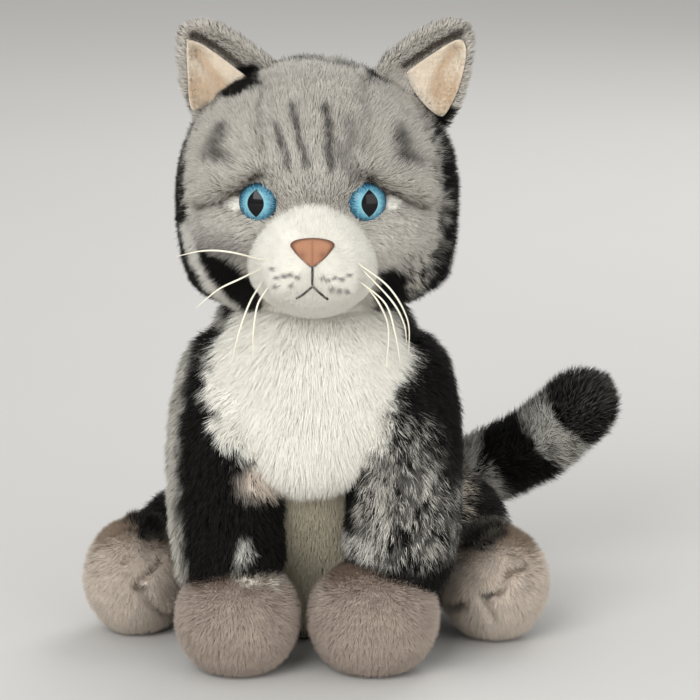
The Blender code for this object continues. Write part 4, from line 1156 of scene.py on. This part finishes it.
arms = dict(
    left=dict(patches=[
        mark("slate", (41, 69), (20, 25), 0.35, speckle=0.6, lock=3.4),
        mark("silver", (40, 69), (19, 23), 0.5, speckle=0.31, lock=2.6),
        mark("silver", (27, 74), (5.5, 17), 0.5, speckle=0.45, lock=3.0),
        mark("snow", (21, 108), (12.5, 15), 0.15, rag=0.35, ragSize=2.5),
        mark("silver", (36, 100), (11, 9), 0.6, speckle=0.24, lock=3.0),
        mark("coal", (57, 90), (7, 9), 0.3, strength=0.9),
        stroke("coal", [(17, 92), (15, 60)], 5.0, 0.25),
        stroke("pale", [(12, 56), (26, 56)], 4.4, 0.4, speckle=0.75, lock=3.0),
        stroke("coal", [(12, 44), (56, 44)], 4.6, 0.3),
    ], route=[((36, -47, 119), 20), ((38.5, -54, 100), 21), ((38, -64, 66), 21), ((35.5, -68, 47), 20)]),
    right=dict(patches=[
        mark("sand", (-21, 84), (10, 8), 0.4, speckle=0.85, lock=3.0),
        mark("snow", (-26, 110), (14.5, 18), 0.15, rag=0.35, ragSize=2.5),
        mark("snow", (-28, 121), (14, 12), 0.15, rag=0.35, ragSize=2.5),
        mark("pale", (-30, 56), (2.6, 4.4), 0.6, speckle=0.8, lock=2.0),
        stroke("smoke", [(-32, 52), (-33.5, 45)], 1.2, 0.6, strength=0.7),
        stroke("silver", [(-50, 142), (-55, 124), (-58.5, 100), (-58.5, 70), (-56, 40)], 5.0, 0.4, None, rag=0.35),
    ], route=[((-35, -47, 119), 20), ((-37.5, -54, 100), 21), ((-37.5, -64, 66), 21), ((-35.5, -68, 47), 20.5)]),
)
paws = dict(left=dict(half=(25.2, 22.6, 22.8), patches=[]), right=dict(half=(23.9, 22.8, 22.8), patches=[
    stroke("snow", [(-33, 44.5), (-24, 44), (-14, 41.5)], 2.8, 0.8, -70, rag=0.8, ragSize=2.5, speckle=0.6, lock=1.8)]))
plush = dict(
    material=shortFur, density=7.2, wide=0.285, short=True, lean=25, fall=50, tuft=3.5, tuftBend=0.32, follow=0.88,
    mottle=0.12, tipShare=0.3, tipColour="milk",
)


def plushGuides(mid, aside):
    # the comb of a paw or a foot: forward over its top and down all round it
    x, y = mid.x, mid.y
    return [((x, y, 50), (0, -1, -0.1)), ((x, y - 25, 22), (aside, 0, -1)), ((x + 25, y, 22), (0.2, 0.3, -1)),
            ((x - 25, y, 22), (-0.2, 0.3, -1)), ((x, y + 25, 22), (0, 0, -1))]


for name, side in sides:
    arm = stuffed(limb("armSkin", arms[name]["route"]), cap=1.5, pressure=1200)
    filling(arm, "frontLegStuffing" + name.title(), "front_leg_" + name, "front_leg_stuffing_" + name)
    armCoat = dict(
        colour="coal", material=longFur, pile=7.5, density=3.6, wide=0.34, tuft=4.5, tuftBend=0.38, stray=0.15,
        clump=3.0, clumpShare=0.45, follow=0.8, rootShade=0.6, mottle=0.15, tipShare=0.25, sheenTips=sheenTipped(0.15),
        patches=arms[name]["patches"],
        bare=[dict(at=(0, -10, 80), size=(49, 41, 74)), dict(at=(side * 28, -78, 22), size=(22, 22, 20))],
        lengths=[dict(at=(side * 24, 0, 110), size=(16, 1, 18), flat=True, pile=11, stand=0.85, soft=0.4)],
        guides=[((side * x, y, z), (side * a, b, -c)) for (x, y, z), (a, b, c) in (
            ((50, -50, 125), (0.3, 0, 1)), ((32, -76, 110), (0.9, 0, 0.8)), ((22, -80, 104), (0.6, 0, 1)),
            ((30, -80, 90), (0.15, 0, 1)), ((56, -60, 80), (0.5, 0, 1)), ((18, -70, 60), (-0.5, -0.1, 1)),
            ((36, -84, 50), (0.1, -0.1, 1)))],
    )
    dressed("frontLegSleeve" + name.title(), arm, armCoat, 300 + side, "front_leg_" + name,
            "front_leg_sleeve_" + name)
    low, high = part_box("front_paw_" + name)
    mid, half = (low + high) / 2 / mm, paws[name]["half"]
    at = (mid.x, mid.y - 1.8, half[2] + 0.5)  # forward, to leave the belly room when the leg swings back
    paw = addBall("pawSkin", at, half)
    squarish(paw, at, half, 2.2)
    stuffed(paw, cap=1.0, pressure=1500)
    filling(paw, "frontPawStuffing" + name.title(), "front_leg_" + name, "front_paw_stuffing_" + name)
    pawCoat = dict(plush, colour="fawn", pile=4.2, rootShade=0.7, patches=paws[name]["patches"],
                   guides=plushGuides(mid, 0))
    dressed("frontPaw" + name.title(), paw, pawCoat, 310 + side, "front_leg_" + name,
            "front_paw_" + name)
print("front legs done")

haunches = dict(
    left=dict(route=((54, 5, 38), 28), patches=[
        mark("cream", (61, 56), (4.4, 9), 0.8, None, rag=0.6, ragSize=2.0, speckle=0.55, lock=1.4, lockShare=0.3),
        stroke("silver", [(60, 46), (70, 44), (78, 45)], 3, 0.5, None, speckle=0.6)]),
    right=dict(route=((50, 6, 32), 26.5), patches=[]),
)
feet = dict(
    left=dict(
        half=(21.6, 22, 23.8), shift=(0.5, -0.5), fringe=[("coal", 0.95, 3.0), ("silver", 0.42, 2.4)],
        creases=[([(90, 35.5), (82, 34.5)], 1.5), ([(83, 34.5), (79.3, 27)], 2.2),
                 ([(79.3, 26.8), (72.9, 22.9)], 1.7), ([(72.9, 22.9), (76, 15)], 2.0)],
        stitches=[([(90, 35.6), (82, 34.4)], 1.0, "soot"), ([(79.3, 26.8), (72.9, 22.9)], 0.9, "soot"),
                  ([(75, 26.4), (71.5, 25.2)], 0.9, "coal"), ([(64.5, 20), (61, 17.6)], 1.8, "umber")]),
    right=dict(
        half=(20.8, 22.4, 23.9), shift=(-0.6, -2.5), fringe=[("coal", 0.95, 3.0)],
        creases=[([(-66.9, 35.6), (-76.7, 26.5)], 1.9), ([(-82.7, 36.1), (-78.4, 38.2)], 1.4),
                 ([(-76.7, 26.5), (-71.6, 19.9), (-67.3, 14.6), (-63, 10.3)], 1.9)],
        stitches=[([(-66.9, 35.6), (-76.7, 26.5)], 0.8, "fawnDark"), ([(-76.7, 26.7), (-73, 25)], 0.8, "soot"),
                  ([(-71.6, 19.9), (-67.3, 14.6)], 0.8, "fawnDark"),
                  ([(-82.7, 36.1), (-78.4, 38.2)], 0.7, "fawnDark")]),
)
for name, side in sides:
    low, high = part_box("hind_foot_" + name)
    mid, foot, upper = (low + high) / 2 / mm, feet[name], haunches[name]
    (x, y, z), r = upper["route"]
    haunch = limb("haunchSkin", [((side * x, y, z), r), ((mid.x - side * 6, mid.y + 11, 28), 16)])
    stuffed(haunch, cap=1.5, pressure=1000)
    onFloor(haunch, 0.6)
    filling(haunch, "hindLegStuffing" + name.title(), "torso", "hind_leg_stuffing_" + name)
    haunchCoat = dict(
        colour="coal", material=longFur, pile=7, density=2.8, wide=0.38, tuft=5, follow=0.8, tipShare=0.2,
        sheenTips=sheenTipped(0.3), patches=upper["patches"],
        bare=[dict(at=(mid.x, mid.y, mid.z), size=(20, 21, 22)), dict(at=(0, 0, 40), size=(49, 41, 47))],
        guides=[((side * 60, 0, 70), (side * 0.8, -0.3, -0.8)), ((side * 75, 10, 40), (side, 0, -0.6))],
    )
    dressed("hindLegSleeve" + name.title(), haunch, haunchCoat, 400 + side, "torso",
            "hind_leg_sleeve_" + name)
    at = (mid.x + foot["shift"][0], mid.y + foot["shift"][1], foot["half"][2] + 0.5)
    skin = stuffed(addBall("footSkin", at, foot["half"], 6), cap=1.0, pressure=1500)
    sculpt(skin, [dict(line=line, wide=wide, flat=True, front=at[1], push=-2.3) for line, wide in foot["creases"]])
    filling(skin, "hindFootStuffing" + name.title(), "torso", "hind_foot_stuffing_" + name, 2.6)
    tuft = dict(at=(mid.x - side * 6.5, mid.y, 49), size=(10.5, 24, 7.5), soft=0.3, rag=0.4, ragSize=2.5)
    footCoat = dict(
        plush, colour="sand", pile=4.6, rootShade=0.68, guides=plushGuides(mid, side * 0.3),
        patches=[
            dict(at=(mid.x, mid.y - 4, 50), size=(24, 24, 10), colour="fawn", soft=0.9, strength=0.3),
            *(dict(tuft, colour=colour, speckle=share, lock=lock) for colour, share, lock in foot["fringe"]),
            *(stroke(colour, line, wide, 0.9, at[1], rag=0.6, ragSize=1.5, strength=0.85)
              for line, wide, colour in foot["stitches"])],
        lengths=[
            *(dict(line=line, wide=wide, flat=True, pile=2.0, soft=0.6) for line, wide, colour in foot["stitches"]),
            dict(tuft, pile=7.5, stand=0.8)],
    )
    dressed("hindFoot" + name.title(), skin, footCoat, 410 + side, "torso", "hind_foot_" + name)
print("hind legs done")

tail = dict(route=[(12, 35, 40), (38, 54, 42), (68, 58, 50), (99, 54, 66), (119, 48, 86)], radius=12.6)


def tailRing(low, high, colour, **more):
    half = (high - low) / 2
    return dict(band=(low, high), route=tail["route"], colour=colour, soft=1.5 / half, rag=3.0 / half, **more)


tailCoat = dict(
    colour="smoke", material=longFur, pile=9, density=3.65, wide=0.36, lean=26, fall=44, tuft=4.5, tuftBend=0.34,
    follow=0.8, mottle=0.15, tipShare=0.3, bare=[dict(at=(0, 0, 40), size=(48, 40, 46))],
    patches=[
        tailRing(-20, 77, "silver", speckle=0.72, lock=3.4), tailRing(-20, 77, "coal", speckle=0.12, lock=4.5),
        tailRing(77, 102, "coal"), tailRing(102, 118, "pale", speckle=0.8, lock=3.0), tailRing(118, 170, "coal")],
    # painted sheen on the tips of the black rings
    sheenTips=[tailRing(118, 170, "silver", strength=0.45), tailRing(77, 103, "smoke", strength=0.25)],
    guides=[((12, 35, 40), (1, 0.6, 0)), ((38, 54, 42), (1, 0.2, 0.15)), ((68, 58, 50), (1, 0, 0.4)),
            ((99, 54, 66), (0.85, -0.2, 0.7)), ((122, 46, 90), (0.7, -0.2, 0.8))],
)
tailSkin = stuffed(limb("tailSkin", [(spot, tail["radius"]) for spot in tail["route"]]), cap=1.2, pressure=1500)
filling(tailSkin, "tailStuffing", "tail", "tail_stuffing")
dressed("tailSleeve", tailSkin, tailCoat, 500, "tail", "tail_sleeve")
print("tail done")

# the pieces inside that keep their built shape
keptColours = dict(washer_plastic="pale", fibre_stuffing="snow", pellet_bag="sand")
for node, thing in frame["nodes"].items():
    if thing.hide_render:
        continue
    slot = next(p.get("material_slot") for p in frame["record"]["subparts"] if p["node"] == node)
    name = slot + "Plain"
    material = bpy.data.materials.get(name) or plainMaterial(name, keptColours.get(slot, "ash"))
    thing.data.materials.clear()
    thing.data.materials.append(material)
    print("kept", node)

# lamps and floor are in metres; each lamp has its place, size and power
studio = dict(
    aim=(15.2, -90, 140.6), away=1550, rise=12.0, lens=194.0, floor=6.0, floorHeight=-0.0002, lampAim=(0, -0.04, 0.13),
    air=(0.93, 0.95, 0.97, 1), airStrength=0.62,
    lamps=dict(key=((-0.75, -1.75, 1.1), 1.2, 31), fill=((1.25, -1.7, 0.5), 1.4, 15), rim=((0.6, 1.3, 1.3), 1.0, 12)),
)


def placed(name, data, at, aim):
    made = bpy.data.objects.new(name, data)
    made.location = at
    made.rotation_euler = (aim - made.location).to_track_quat("-Z", "Y").to_euler()
    bpy.context.scene.collection.objects.link(made)
    return made


def makeStudio():
    deselectAll()
    bpy.ops.mesh.primitive_circle_add(vertices=96, radius=studio["floor"], fill_type="NGON",
                                      location=(0, 0, studio["floorHeight"]))
    floor = bpy.context.object
    floor.name = "studioFloor"
    bpy.ops.object.transform_apply(location=True, rotation=True, scale=True)
    floor.data.materials.append(plainMaterial("paleFloor", "floor", roughness=0.9, scale=3.0, vary=0.02))
    scene = bpy.context.scene
    scene.world = scene.world or bpy.data.worlds.new("studioAir")
    scene.world.use_nodes = True
    air = scene.world.node_tree.nodes["Background"].inputs
    air["Color"].default_value, air["Strength"].default_value = studio["air"], studio["airStrength"]
    for name, (at, size, power) in studio["lamps"].items():
        lamp = bpy.data.lights.new(name, "AREA")
        lamp.size, lamp.energy = size, power
        placed(name, lamp, at, Vector(studio["lampAim"]))
    camera = bpy.data.cameras.new("camera")
    camera.lens, camera.sensor_width = studio["lens"], 36.0
    rise, aim = math.radians(studio["rise"]), Vector(studio["aim"]) * mm
    at = aim + Vector((0, -math.cos(rise), math.sin(rise))) * studio["away"] * mm
    scene.camera = placed("camera", camera, at, aim)
    scene.view_settings.view_transform = "Standard"


makeStudio()
print("studio done")
